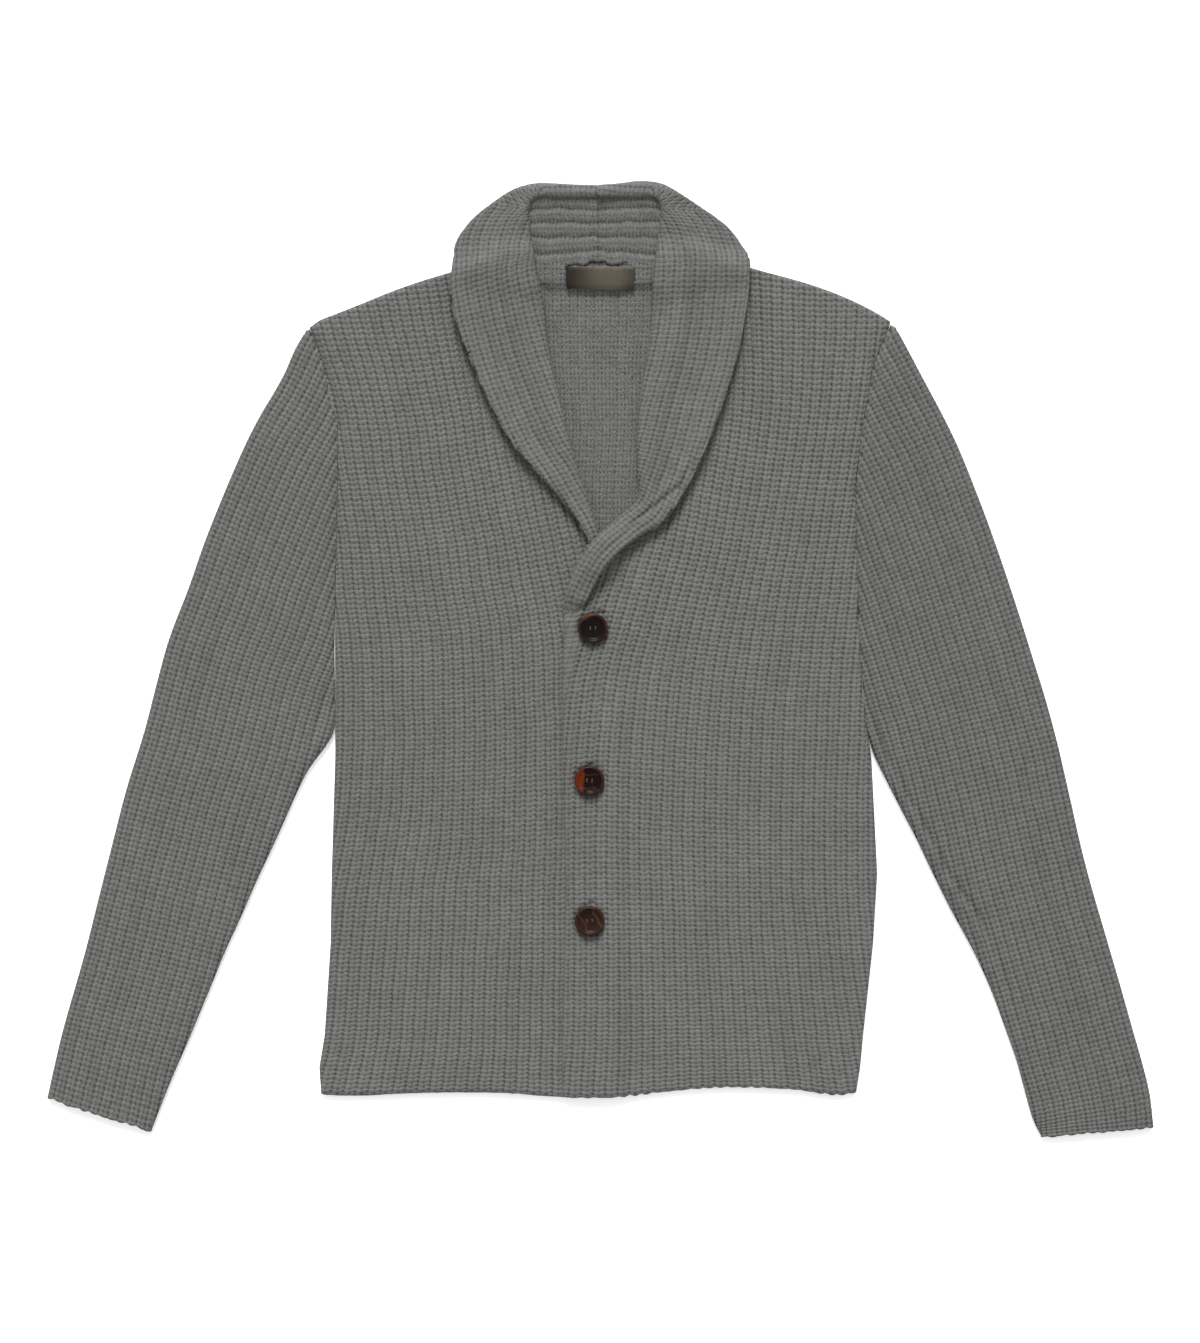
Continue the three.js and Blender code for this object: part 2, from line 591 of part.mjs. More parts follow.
// The buttonholes: upright slits through the left front, each running up from behind a button.
function cutButtonholes(panel) {
  let cut = solid(plate(panel));
  for (const { x, y } of BUTTONS) {
    const top = y + BUTTON.radius + BUTTONHOLE.above;
    const slit = new THREE.BoxGeometry(BUTTONHOLE.width, BUTTONHOLE.length, 80);
    cut = cut.subtract(solid(slit.translate(x, top - BUTTONHOLE.length / 2, 0)));
  }
  return fromSolid(cut);
}

// --- laying the garment down --------------------------------------------------------------

const pile = new Pile();
const under = { left: underFall(LEFT_NAPE), right: underFall(RIGHT_NAPE) };
pile.lay(under.left);
pile.lay(under.right);

const back = makeBack(pile);
const stand = {
  left: layPlate(pile, standPlan(LEFT_STAND)),
  right: layPlate(pile, standPlan(RIGHT_STAND)),
};
pile.lay(back);
pile.lay(stand.left);
pile.lay(stand.right);

const label = makeLabel(pile);
const right = laySide(pile, RIGHT_LAPEL, RIGHT_NAPE, 'right');
const left = laySide(pile, LEFT_LAPEL, LEFT_NAPE, 'left');

// A collar half is one piece: its fall, its stand and the underside, joined where it folds.
const collarHalf = (fall, side) => fromSolid(
  solid(plate(fall)).add(solid(plate(stand[side]))).add(solid(plate(under[side]))),
);

// --- the parts ----------------------------------------------------------------------------

const knit = { color: 0x6b6c6b, roughness: 0.95, metalness: 0 };
const horn = { color: 0x2b1510, roughness: 0.3, metalness: 0 };
const satin = { color: 0x3d352a, roughness: 0.45, metalness: 0 };

const blazer = new THREE.Group();

function addPart(name, geometry, finish, place = [0, 0, 0]) {
  const mesh = new THREE.Mesh(geometry, new THREE.MeshStandardMaterial(finish));
  mesh.name = name;
  mesh.position.set(...place);
  blazer.add(mesh);
}

addPart('back', plate(back), knit);
addPart('front_right', plate(right.panel), knit);
addPart('front_left', cutButtonholes(left.panel), knit);
addPart('sleeve_right', makeSleeve(RIGHT_CAP, RIGHT_ARM, -1), knit);
addPart('sleeve_left', makeSleeve(LEFT_CAP, LEFT_ARM, 1), knit);
addPart('collar_right', collarHalf(right.fall, 'right'), knit);
addPart('collar_left', collarHalf(left.fall, 'left'), knit);
addPart('neck_label', plate(label), satin);
for (const { name, x, y } of BUTTONS) {
  const height = pile.seat(x, y, 0.6 * BUTTON.radius, 0.6 * BUTTON.radius);
  addPart(name, makeButton(), horn, [x, y, height]);
}

export default blazer;
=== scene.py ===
"""A shawl-collar knit blazer, buttoned and laid flat on its back.

The blazer is knitted in chunky half-cardigan rib. Every knitted piece is a thin shell whose
points stand in rows along its courses and in columns along its wales, so that the stitches
follow the cloth wherever it goes. Lengths are in metres; the collar is towards +Y and the
wearer's left side is at +X. A wale is an upright line of stitches, and a course is a row of
them.
"""

from __future__ import annotations

import logging
import math
from dataclasses import dataclass, field, replace
from enum import Enum
from typing import Sequence

import bpy
import numpy as np
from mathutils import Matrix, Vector

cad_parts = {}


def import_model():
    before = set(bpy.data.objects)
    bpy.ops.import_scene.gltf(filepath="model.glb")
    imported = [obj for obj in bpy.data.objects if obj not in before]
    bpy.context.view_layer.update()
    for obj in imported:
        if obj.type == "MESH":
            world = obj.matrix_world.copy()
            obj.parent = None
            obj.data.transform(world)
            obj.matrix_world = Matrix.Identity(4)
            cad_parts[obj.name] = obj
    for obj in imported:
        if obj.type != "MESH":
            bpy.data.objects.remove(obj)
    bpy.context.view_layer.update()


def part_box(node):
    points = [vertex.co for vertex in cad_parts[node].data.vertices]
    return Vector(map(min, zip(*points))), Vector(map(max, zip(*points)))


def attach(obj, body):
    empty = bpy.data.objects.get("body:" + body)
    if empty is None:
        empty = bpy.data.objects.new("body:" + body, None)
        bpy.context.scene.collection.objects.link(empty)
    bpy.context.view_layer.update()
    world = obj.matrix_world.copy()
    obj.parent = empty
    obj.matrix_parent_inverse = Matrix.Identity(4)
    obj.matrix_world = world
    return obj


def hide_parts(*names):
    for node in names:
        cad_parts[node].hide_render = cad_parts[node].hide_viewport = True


LOG = logging.getLogger("knit_blazer")
MM = 0.001

# how thick the knit is, and the air between two layers of it
WALL = 4.0 * MM
GAP = 0.4 * MM
# how wide a wale is, and how tall a course is
RIB = 8.5 * MM
ROW = 4.4 * MM

# the rows of a short table in millimetres, and short names for types
Rows = tuple[tuple[float, ...], ...]
Colour = tuple[float, float, float]
Array = np.ndarray
Piece = bpy.types.Object
Socket = bpy.types.NodeSocket


class Side(Enum):
    """The wearer's two sides, by the sign of their X."""

    RIGHT = -1
    LEFT = 1


class Gauge(Enum):
    """Points for each stitch: across a wale, and along a course."""

    FINE = (6, 3)
    PLAIN = (4, 2)


# --- curves and tables


def table(rows: Sequence[Sequence[float]]) -> Array:
    """Turns a short table in millimetres into an array in metres."""
    return np.array(rows, dtype=float) * MM


def smooth_through(knots: Array, values: Array, at: Array) -> Array:
    """Reads a smooth curve that passes through given values.

    Args:
        knots: Increasing positions of the values.
        values: One value, or one row of values, at each knot.
        at: Where to read the curve. It is held level past both ends.

    Returns:
        The values at those places, in the shape of ``at`` and then of one value.
    """
    values = np.asarray(values, dtype=float)
    at = np.clip(at, knots[0], knots[-1])
    steps = np.diff(knots)
    slopes = np.diff(values, axis=0) / steps.reshape(-1, *[1] * (values.ndim - 1))
    tangents = np.concatenate([slopes[:1], 0.5 * (slopes[1:] + slopes[:-1]), slopes[-1:]])
    cell = np.clip(np.searchsorted(knots, at, side="right") - 1, 0, len(knots) - 2)
    share = (at - knots[cell]) / steps[cell]
    extra = [1] * (values.ndim - 1)
    share = share.reshape(*share.shape, *extra)
    width = steps[cell].reshape(*cell.shape, *extra)
    square, cube = share**2, share**3
    return (
        (2 * cube - 3 * square + 1) * values[cell]
        + (cube - 2 * square + share) * width * tangents[cell]
        + (3 * square - 2 * cube) * values[cell + 1]
        + (cube - square) * width * tangents[cell + 1]
    )


def curve(rows: Sequence[Sequence[float]], at: Array) -> Array:
    """Reads a smooth curve from a short table in millimetres, of places and values."""
    knots, values = table(rows).T
    return smooth_through(knots, values, at)


def distances(points: Array) -> Array:
    """How far along a line of points in plan each of them is."""
    return np.concatenate([[0], np.cumsum(np.hypot(*np.diff(points, axis=0).T))])


def courses_along(length: float, pitch: float, per_course: int) -> tuple[Array, Array]:
    """The place along the courses of each row of points, and how far along a length it is."""
    count = int(length / pitch)
    courses = np.linspace(0, count, count * per_course + 1)
    return courses, courses / count * length


def unit(ways: Array) -> tuple[Array, Array]:
    """The directions of some ways in plan, and a column of their lengths."""
    length = np.hypot(ways[:, 0], ways[:, 1])[:, None]
    return ways / np.maximum(length, 1e-6), length


def smoothed(values: Array, reach: int) -> Array:
    """Evens out values down their columns, over so many rows each way."""
    padded = np.pad(values, ((reach, reach), (0, 0)), mode="edge")
    weights = np.hanning(2 * reach + 3)[1:-1]
    even = sum(w * padded[i : i + len(values)] for i, w in enumerate(weights))
    return even / weights.sum()


def fade(value: Array, start: float, end: float) -> Array:
    """A soft step from 0 at one value to 1 at another."""
    share = np.clip((value - start) / (end - start), 0, 1)
    return share * share * (3 - 2 * share)


def hump(distance: Array, width: float) -> Array:
    """A bell that is 1 at no distance and dies away past a width."""
    return np.exp(-((distance / width) ** 2))


def bullnose(distance: Array, radius: float) -> Array:
    """The share of a wall's height that is left near a rounded edge."""
    inside = np.clip(distance / radius, 0, 1)
    return np.sqrt(np.clip(1 - (1 - inside) ** 2, 0, 1))


def waver(x: Array, y: Array, length: float, seed: int) -> Array:
    """A soft unevenness between -1 and 1 over a plane.

    Args:
        x: Places along X.
        y: Places along Y.
        length: The usual distance between two hollows.
        seed: A number that picks the pattern.

    Returns:
        The unevenness at each place.
    """
    draw = np.random.default_rng(seed)
    total = np.zeros(np.broadcast(x, y).shape)
    for turn in draw.uniform(0, 2 * math.pi, 7):
        wave = 2 * math.pi / (length * draw.uniform(0.7, 1.5))
        phase = draw.uniform(0, 2 * math.pi)
        total += np.sin(wave * (x * math.cos(turn) + y * math.sin(turn)) + phase)
    return total / 4


# --- cloth


@dataclass
class Pile:
    """How high the cloth already laid down stands, on a square grid over the garment."""

    half_width: float = 0.30
    half_depth: float = 0.43
    cell: float = 2.0 * MM
    reach: float = 5.0 * MM
    # the heights of another pile to start from, or a bare table
    heights: Array | None = None

    def __post_init__(self) -> None:
        """Takes its own copy of the heights."""
        halves = (self.half_depth, self.half_width)
        bare = np.zeros([int(2 * half / self.cell) + 1 for half in halves])
        self.heights = bare if self.heights is None else self.heights.copy()
        self.settled = bare.copy()

    def lay(self, points: Array) -> None:
        """Lays a face of points on the pile and lets the top settle.

        Args:
            points: Rows and columns of points, closer together than a cell.
        """
        flat = points.reshape(-1, 3)
        column = np.round((flat[:, 0] + self.half_width) / self.cell).astype(int)
        row = np.round((flat[:, 1] + self.half_depth) / self.cell).astype(int)
        rows, columns = self.heights.shape
        inside = (column >= 0) & (column < columns) & (row >= 0) & (row < rows)
        np.maximum.at(self.heights, (row[inside], column[inside]), flat[inside, 2])
        self.settle()

    def settle(self) -> None:
        """Works out the smooth surface that the next cloth comes to rest on."""
        reach = int(round(self.reach / self.cell))
        top = np.where(self.heights > 0, self.heights + GAP, 0)
        for axis in (0, 1):
            wide = top.copy()
            for shift in range(1, reach + 1):
                for way in (-shift, shift):
                    wide = np.maximum(wide, np.roll(top, way, axis))
            top = wide
        for axis in (0, 1):
            for _ in range(2):
                total = top.copy()
                for shift in range(1, reach // 2 + 1):
                    total += np.roll(top, shift, axis) + np.roll(top, -shift, axis)
                top = total / (2 * (reach // 2) + 1)
        self.settled = top

    def seat(self, x: Array, y: Array) -> Array:
        """Reads the surface that cloth comes to rest on.

        Args:
            x: Places along X.
            y: Places along Y.

        Returns:
            The height at each place.
        """
        rows, columns = self.settled.shape
        across = np.clip((x + self.half_width) / self.cell, 0, columns - 1.001)
        along = np.clip((y + self.half_depth) / self.cell, 0, rows - 1.001)
        i, j = along.astype(int), across.astype(int)
        s, t = along - i, across - j
        low = self.settled[i, j] * (1 - t) + self.settled[i, j + 1] * t
        high = self.settled[i + 1, j] * (1 - t) + self.settled[i + 1, j + 1] * t
        return low * (1 - s) + high * s


@dataclass(frozen=True)
class Stitches:
    """How far the knit stands in and out at each point of a face."""

    rib_height: float = 1.3 * MM
    row_height: float = 0.44 * MM
    slant: float = 0.2
    sharpness: float = 0.6
    leg_depth: float = 0.42 * MM
    hole_depth: float = 0.6 * MM
    twist: float = 0.0

    def relief(self, wales: Array, courses: Array) -> Array:
        """The height of the knit over its mean face.

        Args:
            wales: Place across the wales, a whole number in each gutter.
            courses: Place along the courses.

        Returns:
            The height, a little above zero on the ribs and below it in the gutters.
        """
        across = np.abs(np.sin(math.pi * wales))
        to_gutter = np.abs(2 * (wales - np.floor(wales)) - 1)
        rib = across**self.sharpness - 0.76
        lean = self.slant * to_gutter + self.twist * (2 * (wales - np.floor(wales)) - 1)
        row = np.cos(2 * math.pi * (courses - lean))
        middle = hump(to_gutter, 0.28)
        hole = np.clip(to_gutter - 0.55, 0, 1) / 0.45 * (0.5 - 0.5 * row)
        height = self.rib_height * rib + self.row_height * row * (0.5 + 0.5 * across)
        return height - self.leg_depth * middle - self.hole_depth * hole


SLEEVE_STITCHES = Stitches(
    rib_height=1.2 * MM, row_height=0.4 * MM, slant=0.1, leg_depth=0.5 * MM, twist=0.05
)
COLLAR_STITCHES = Stitches(
    rib_height=1.0 * MM, row_height=0.26 * MM, leg_depth=0.32 * MM, hole_depth=0.35 * MM
)


@dataclass
class Crease:
    """A soft trough in the cloth along a few points, with a roll of cloth beside it."""

    points: Array
    depth: float
    width: float
    roll: float = 0.5

    def relief(self, x: Array, y: Array) -> Array:
        """Works out how the crease changes the cloth's height.

        Args:
            x: Places along X.
            y: Places along Y.

        Returns:
            The change in height at each place.
        """
        nearest = np.full(x.shape, 1e9)
        beside = np.zeros(x.shape)
        along = np.zeros(x.shape)
        count = len(self.points) - 1
        for i, (start, end) in enumerate(zip(self.points[:-1], self.points[1:])):
            way = end - start
            length = math.hypot(*way)
            share = np.clip(((x - start[0]) * way[0] + (y - start[1]) * way[1]) / length**2, 0, 1)
            off_x = x - start[0] - share * way[0]
            off_y = y - start[1] - share * way[1]
            distance = np.hypot(off_x, off_y)
            near = distance < nearest
            nearest = np.where(near, distance, nearest)
            sign = np.sign(off_x * way[1] - off_y * way[0])
            beside = np.where(near, sign * distance, beside)
            along = np.where(near, (i + share) / count, along)
        ends = np.sqrt(np.clip(4 * along * (1 - along), 0, 1))
        bank = self.roll * hump(beside - 2.2 * self.width, 1.6 * self.width)
        return self.depth * ends * (bank - hump(nearest, self.width))


@dataclass
class KnitFace:
    """A face of cloth as rows of points along its courses, with each point's stitch."""

    points: Array
    wales: Array
    courses: Array

    @classmethod
    def laid(cls, x: Array, y: Array, wales: Array, courses: Array) -> KnitFace:
        """A flat face with its stitches spread over the rows and columns of its points."""
        return cls(np.stack([x, y, 0 * x], axis=2), wales + 0 * x, courses + 0 * x)

    @property
    def shape(self) -> tuple[int, int]:
        """The number of rows and of columns."""
        return self.points.shape[:2]

    @property
    def plan(self) -> tuple[Array, Array]:
        """The X and the Y of the points."""
        return self.points[..., 0], self.points[..., 1]

    def at_height(self, z: Array) -> KnitFace:
        """The same stitches with their points at other heights."""
        return KnitFace(np.stack([*self.plan, z], axis=2), self.wales, self.courses)

    def turned(self) -> KnitFace:
        """The face with its columns in the other order, so that it looks the other way."""
        return KnitFace(self.points[:, ::-1], self.wales[:, ::-1], self.courses[:, ::-1])

    def normals(self, wrap: bool = False) -> Array:
        """Directions out of the face, columns crossed with rows.

        Args:
            wrap: The last column is next to the first one.

        Returns:
            One unit vector for each point.
        """
        points = self.points
        along = np.gradient(points, axis=0)
        if wrap:
            across = (np.roll(points, -1, 1) - np.roll(points, 1, 1)) / 2
        else:
            across = np.gradient(points, axis=1)
        normal = np.cross(across, along)
        size = np.linalg.norm(normal, axis=2, keepdims=True)
        normal = np.where(size > 1e-12, normal / np.maximum(size, 1e-12), 0)
        for _ in range(2):
            mixed = normal.copy()
            mixed[1:] += normal[:-1]
            mixed[:-1] += normal[1:]
            mixed[:, 1:] += normal[:, :-1]
            mixed[:, :-1] += normal[:, 1:]
            size = np.linalg.norm(mixed, axis=2, keepdims=True)
            normal = mixed / np.maximum(size, 1e-9)
        return normal


@dataclass
class Shell:
    """Points, triangles and stitch places of a piece of cloth, ready to become a mesh."""

    points: list[Array] = field(default_factory=list)
    stitches: list[Array] = field(default_factory=list)
    triangles: list[Array] = field(default_factory=list)
    finishes: list[Array] = field(default_factory=list)
    finish: int = 0
    count: int = 0

    def add_points(self, points: Array, wales: Array, courses: Array) -> Array:
        """Adds points and returns their numbers, in the shape of the rows and columns."""
        numbers = self.count + np.arange(wales.size).reshape(wales.shape)
        self.points.append(points.reshape(-1, 3))
        self.stitches.append(np.stack([wales.ravel(), courses.ravel()], axis=1))
        self.count += wales.size
        return numbers

    def add_quads(self, a: Array, b: Array, c: Array, d: Array) -> None:
        """Adds four-sided faces, each as two triangles."""
        corners = [n.ravel() for n in (a, b, c, d)]
        for order in ((0, 1, 2), (0, 2, 3)):
            self.triangles.append(np.stack([corners[i] for i in order], axis=1))
            self.finishes.append(np.full(corners[0].size, self.finish))

    def add_fan(self, rim: Array, flip: bool) -> None:
        """Closes the sliver between one long edge and the short edges along it."""
        first, second = rim[1:-1], rim[2:]
        hub = np.full(first.shape, rim[0])
        order = (hub, second, first) if flip else (hub, first, second)
        self.triangles.append(np.stack(order, axis=1))
        self.finishes.append(np.full(hub.size, self.finish))

    def add_cloth(
        self,
        outer: KnitFace,
        inner: Array,
        rows: Array,
        columns: Array,
        wrap: bool = False,
        inner_wales: Array | None = None,
    ) -> None:
        """Adds a closed shell: a fine outer face and a plainer inner one that share their rim.

        Args:
            outer: The face that shows, its columns crossed with its rows pointing out.
            inner: The inner points, in the rows and columns of the outer face.
            rows: The numbers of the outer rows that the inner face keeps.
            columns: The numbers of the outer columns that the inner face keeps.
            wrap: The last column is next to the first one, as on a tube.
            inner_wales: Places across the wales of the inner face, if they are its own.
        """
        at = self.add_points(outer.points, outer.wales, outer.courses)
        right = np.roll(at, -1, 1) if wrap else at[:, 1:]
        left = at if wrap else at[:, :-1]
        self.add_quads(left[:-1], right[:-1], right[1:], left[1:])
        pick = np.ix_(rows, columns)
        under = at[pick].copy()
        inside = np.ones(under.shape, dtype=bool)
        inside[[0, -1], :] = False
        if not wrap:
            inside[:, [0, -1]] = False
        wales = outer.wales if inner_wales is None else inner_wales
        new = self.add_points(inner[pick], wales[pick], outer.courses[pick])
        under[inside] = new[inside]
        right = np.roll(under, -1, 1) if wrap else under[:, 1:]
        left = under if wrap else under[:, :-1]
        self.add_quads(left[:-1], left[1:], right[1:], right[:-1])
        self.close_rim(at, rows, columns, wrap)

    def close_rim(self, at: Array, rows: Array, columns: Array, wrap: bool) -> None:
        """Closes the slivers between the rims of the fine face and of the plainer one.

        Args:
            at: The numbers of the outer points.
            rows: The numbers of the outer rows that the inner face keeps.
            columns: The numbers of the outer columns that the inner face keeps.
            wrap: The last column is next to the first one, as on a tube.
        """
        for start, end in zip(columns[:-1], columns[1:]):
            self.add_fan(at[0, start : end + 1], True)
            self.add_fan(at[-1, start : end + 1], False)
        if wrap:
            last = np.append(np.arange(columns[-1], at.shape[1]), 0)
            self.add_fan(at[0, last], True)
            self.add_fan(at[-1, last], False)
            return
        for start, end in zip(rows[:-1], rows[1:]):
            self.add_fan(at[start : end + 1, 0], False)
            self.add_fan(at[start : end + 1, -1], True)

    def to_object(self, name: str) -> Piece:
        """Welds what coincides, drops what has no area and makes the mesh object.

        Args:
            name: The name of the object and of its mesh.

        Returns:
            The object, linked to the scene, with its UV map named "stitches".
        """
        points = np.concatenate(self.points)
        stitches = np.concatenate(self.stitches)
        triangles = np.concatenate(self.triangles)
        finishes = np.concatenate(self.finishes)
        keys = np.round(points / (0.02 * MM)).astype(np.int64)
        _, first, number = np.unique(keys, axis=0, return_index=True, return_inverse=True)
        number = number.ravel()
        welded = number[triangles]
        whole = (
            (welded[:, 0] != welded[:, 1])
            & (welded[:, 1] != welded[:, 2])
            & (welded[:, 0] != welded[:, 2])
        )
        welded, triangles, finishes = welded[whole], triangles[whole], finishes[whole]
        mesh = bpy.data.meshes.new(name)
        mesh.from_pydata(points[first].tolist(), [], welded.tolist())
        layer = mesh.uv_layers.new(name="stitches")
        layer.data.foreach_set("uv", stitches[triangles].astype(np.float32).ravel())
        mesh.polygons.foreach_set("material_index", finishes.astype(np.int32))
        mesh.validate()
        mesh.shade_smooth()
        piece = bpy.data.objects.new(name, mesh)
        bpy.context.scene.collection.objects.link(piece)
        return piece


def cut_ends(face: KnitFace, room: Array, axis: int) -> KnitFace:
    """Stops each line of stitches where it meets an outline.

    Args:
        face: The face to cut.
        room: How far inside the outline each point is, negative outside it.
        axis: 0 to follow the columns, 1 to follow the rows.

    Returns:
        The face with every point past an outline moved to where its line crosses it.
    """
    data = np.concatenate([face.points, face.wales[..., None], face.courses[..., None]], axis=2)
    if axis == 0:
        data, room = data.transpose(1, 0, 2), room.T
    inside = room > 0
    lines = np.arange(len(room))
    count = room.shape[1]
    first = np.argmax(inside, axis=1)
    last = count - 1 - np.argmax(inside[:, ::-1], axis=1)
    numbers = np.arange(count)[None, :]
    for edge, beyond, outside in (
        (first, np.maximum(first - 1, 0), numbers < first[:, None]),
        (last, np.minimum(last + 1, count - 1), numbers > last[:, None]),
    ):
        here, there = room[lines, edge], room[lines, beyond]
        share = np.where(here > there, here / np.maximum(here - there, 1e-12), 0)
        share = np.clip(share, 0, 1)[:, None]
        crossing = data[lines, edge] * (1 - share) + data[lines, beyond] * share
        data = np.where(outside[..., None], crossing[:, None, :], data)
    if axis == 0:
        data = data.transpose(1, 0, 2)
    return KnitFace(data[..., :3].copy(), data[..., 3].copy(), data[..., 4].copy())


def kept(count: int, step: int, extra: Sequence[int] = ()) -> Array:
    """The numbers of the rows or columns that an inner face keeps, both ends among them."""
    regular = np.arange(0, count, step)
    return np.unique(np.concatenate([regular, [count - 1], np.array(extra, int)]))


# --- the cut of the body


@dataclass(frozen=True)
class BodyCut:
    """The outline that the back and the fronts share, in millimetres in its tables."""

    hem: float = -367 * MM
    armpit: float = 51 * MM
    neck_height: float = 347 * MM
    neck_left: float = 81 * MM
    back_neck: float = 336.8 * MM
    back_neck_half: float = 56 * MM
    # height, the wearer's right side, the wearer's left side
    sides: Rows = (
        (-367, -238, 216), (-345, -239.5, 219.5), (-318, -235, 222), (-240, -230, 230.5),
        (-180, -229, 234), (-82, -226, 229), (-35, -226, 222), (51, -226, 217.5),
        (90, -225, 216.5), (143, -224, 215.5), (200, -223.5, 221), (222, -230, 226),
        (255, -237, 232), (285, -249, 245),
    )
    # the bowed shoulder edges, and the neck between them
    shoulders: Rows = (
        (-249, 281.5), (-244, 285.4), (-239.3, 288.6), (-230.8, 292), (-205, 302.2),
        (-180, 312.4), (-154, 321.7), (-128, 329.5), (-82, 343), (0, 347), (81, 344),
        (143.2, 328.5), (168.7, 321.7), (194.2, 313.2), (219.7, 302.2), (232.5, 295.4),
        (245.2, 287.7),
    )
    # place along the hem, how far it hangs below or above its usual height
    hem_wave: Rows = (
        (-238, -1.5), (-217, -2.3), (-148, 0), (-96, 0.3), (-40, -3), (-16, -4), (14, -3.5),
        (48, 0), (97, 4.4), (163, 2.6), (203, -2), (216, 0.4),
    )

    def side(self, y: Array, side: Side) -> Array:
        """The X of the side seam and armhole at a height."""
        rows = table(self.sides)
        column = 1 if side is Side.RIGHT else 2
        return np.interp(y, rows[:, 0], rows[:, column])

    def hem_drop(self, x: Array, y: Array) -> Array:
        """How far the wavy hem moves a point up, less the higher it is."""
        return curve(self.hem_wave, x) * np.exp(-(y - self.hem) / (28 * MM))

    def shoulder_line(self, x: Array) -> Array:
        """The height of the shoulder edges, level over the neck."""
        return curve(self.shoulders, x)

    def back_top(self, x: Array) -> Array:
        """The height of the back's top edge, with the neck scooped out of it."""
        half = self.back_neck_half
        scoop = np.interp(np.abs(x), [half, self.neck_left], [self.back_neck, self.neck_height])
        return np.minimum(self.shoulder_line(x), scoop)


@dataclass(frozen=True)
class NeckCut:
    """One front's neckline and the collar half on it, in millimetres.

    A lapel row is where the neckline seam, the roll edge and the collar's outer edge stand:
    seam x and y, roll x and y, and the fall's width from the roll. A nape row is its roll, the
    fold on the outline, and where the fall ends on the underside. A stand row is the seam on
    the back neckline and the stand's hidden top.
    """

    lapel: Rows
    nape: Rows
    stand: Rows

    def seam(self, y: Array) -> Array:
        """The X of the neckline seam at a height."""
        rows = table(self.lapel)
        return np.interp(y, rows[:, 1], rows[:, 0])


LEFT_NECK = NeckCut(
    lapel=(
        (-26, 36, -32.6, 35.5, 12), (-25, 41.5, -32.8, 42, 14), (-23.3, 48, -32, 50, 17),
        (-20.8, 54.8, -30, 59, 20),
        (-6.4, 82.9, -16.6, 88.8, 23), (9.8, 99.9, -0.4, 108.4, 24),
        (25.9, 113.5, 14.9, 122, 26), (39.5, 128, 29.5, 136, 30), (41.6, 157.7, 30.2, 162, 45),
        (45.5, 185.7, 30.2, 188.3, 59), (51.4, 218, 31.9, 219.7, 70),
        (62.5, 258.8, 38.7, 260.5, 77), (70.1, 292.8, 42, 292, 81),
        (76.9, 326.8, 43.8, 326.8, 82.5), (79.8, 341.5, 45.5, 341, 80),
    ),
    nape=(
        (47.2, 353.2, 122.3, 348, 119, 338), (49.7, 372.7, 106.7, 368.5, 109, 341),
        (49.8, 382, 88, 382.5, 98, 337), (46.3, 388.6, 70.5, 394, 84, 332),
        (39.5, 391.4, 51, 404.5, 62, 326), (28, 391, 32, 406.5, 36, 323),
        (13, 391, 14, 404.5, 15, 321), (-3.6, 391, -3.6, 403, -3.6, 320),
    ),
    stand=(
        (79, 349, 60, 378), (68, 344, 57, 392), (56, 338.5, 47, 400), (37, 337.2, 30, 403),
        (17, 337.2, 14, 401.5), (-3.6, 337.2, -3.6, 400),
    ),
)
RIGHT_NECK = NeckCut(
    lapel=(
        (4, 57, 13, 60, 12), (-2, 84, 6.5, 86, 12), (-10.5, 108, -2.5, 111, 12),
        (-19, 133, -11, 136.5, 20), (-31.5, 162, -20.8, 166, 32),
        (-42, 187.5, -28.5, 192.5, 46), (-54.8, 224.8, -37, 230, 59),
        (-67.6, 264, -45.5, 269, 68), (-76, 296, -48.9, 302, 77),
        (-81, 326.8, -55.5, 334, 76), (-81.5, 345.5, -57, 347, 69),
    ),
    nape=(
        (-58.2, 353, -124.5, 353, -122, 341), (-60.8, 372.7, -111, 373.5, -111, 341),
        (-61, 382, -91.4, 389.7, -100, 337), (-57.3, 388.8, -74.4, 400, -86, 332),
        (-50, 391.6, -57, 404.6, -66, 326), (-38, 391, -42, 404.6, -42, 323),
        (-21, 391, -22, 403.5, -22, 321), (-2.5, 391, -2.5, 403, -2.5, 320),
    ),
    stand=(
        (-80, 349, -68, 378), (-70, 344, -64, 392), (-56, 338.5, -54, 400),
        (-40, 337.2, -40, 401.5), (-22, 337.2, -22, 400.5), (-2.5, 337.2, -2.5, 400),
    ),
)


# --- knitted pieces


@dataclass
class KnitPiece:
    """What every knitted piece has: its name, the node it stands for and its stitches."""

    name: str
    node: str
    stitches: Stitches = Stitches()
    creases: list[Crease] = field(default_factory=list)
    knit: KnitFinish | None = None

    def crease_relief(self, x: Array, y: Array) -> Array:
        """The change in height that all the piece's creases make at each place."""
        total = np.zeros(x.shape)
        for crease in self.creases:
            total += crease.relief(x, y)
        return total

    def finish(self, shell: Shell, *more: KnitFinish) -> Piece:
        """Makes the mesh object, dresses it and puts it in its node's place.

        Args:
            shell: The piece's points and triangles.
            more: The looks of any further parts of the shell, in their order.

        Returns:
            The finished object.
        """
        piece = shell.to_object(self.name)
        for knit in (self.knit, *more):
            piece.data.materials.append(knit.build())
        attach(piece, "root")
        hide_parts(self.node)
        LOG.info("%s: %d triangles", self.name, len(piece.data.polygons))
        return piece


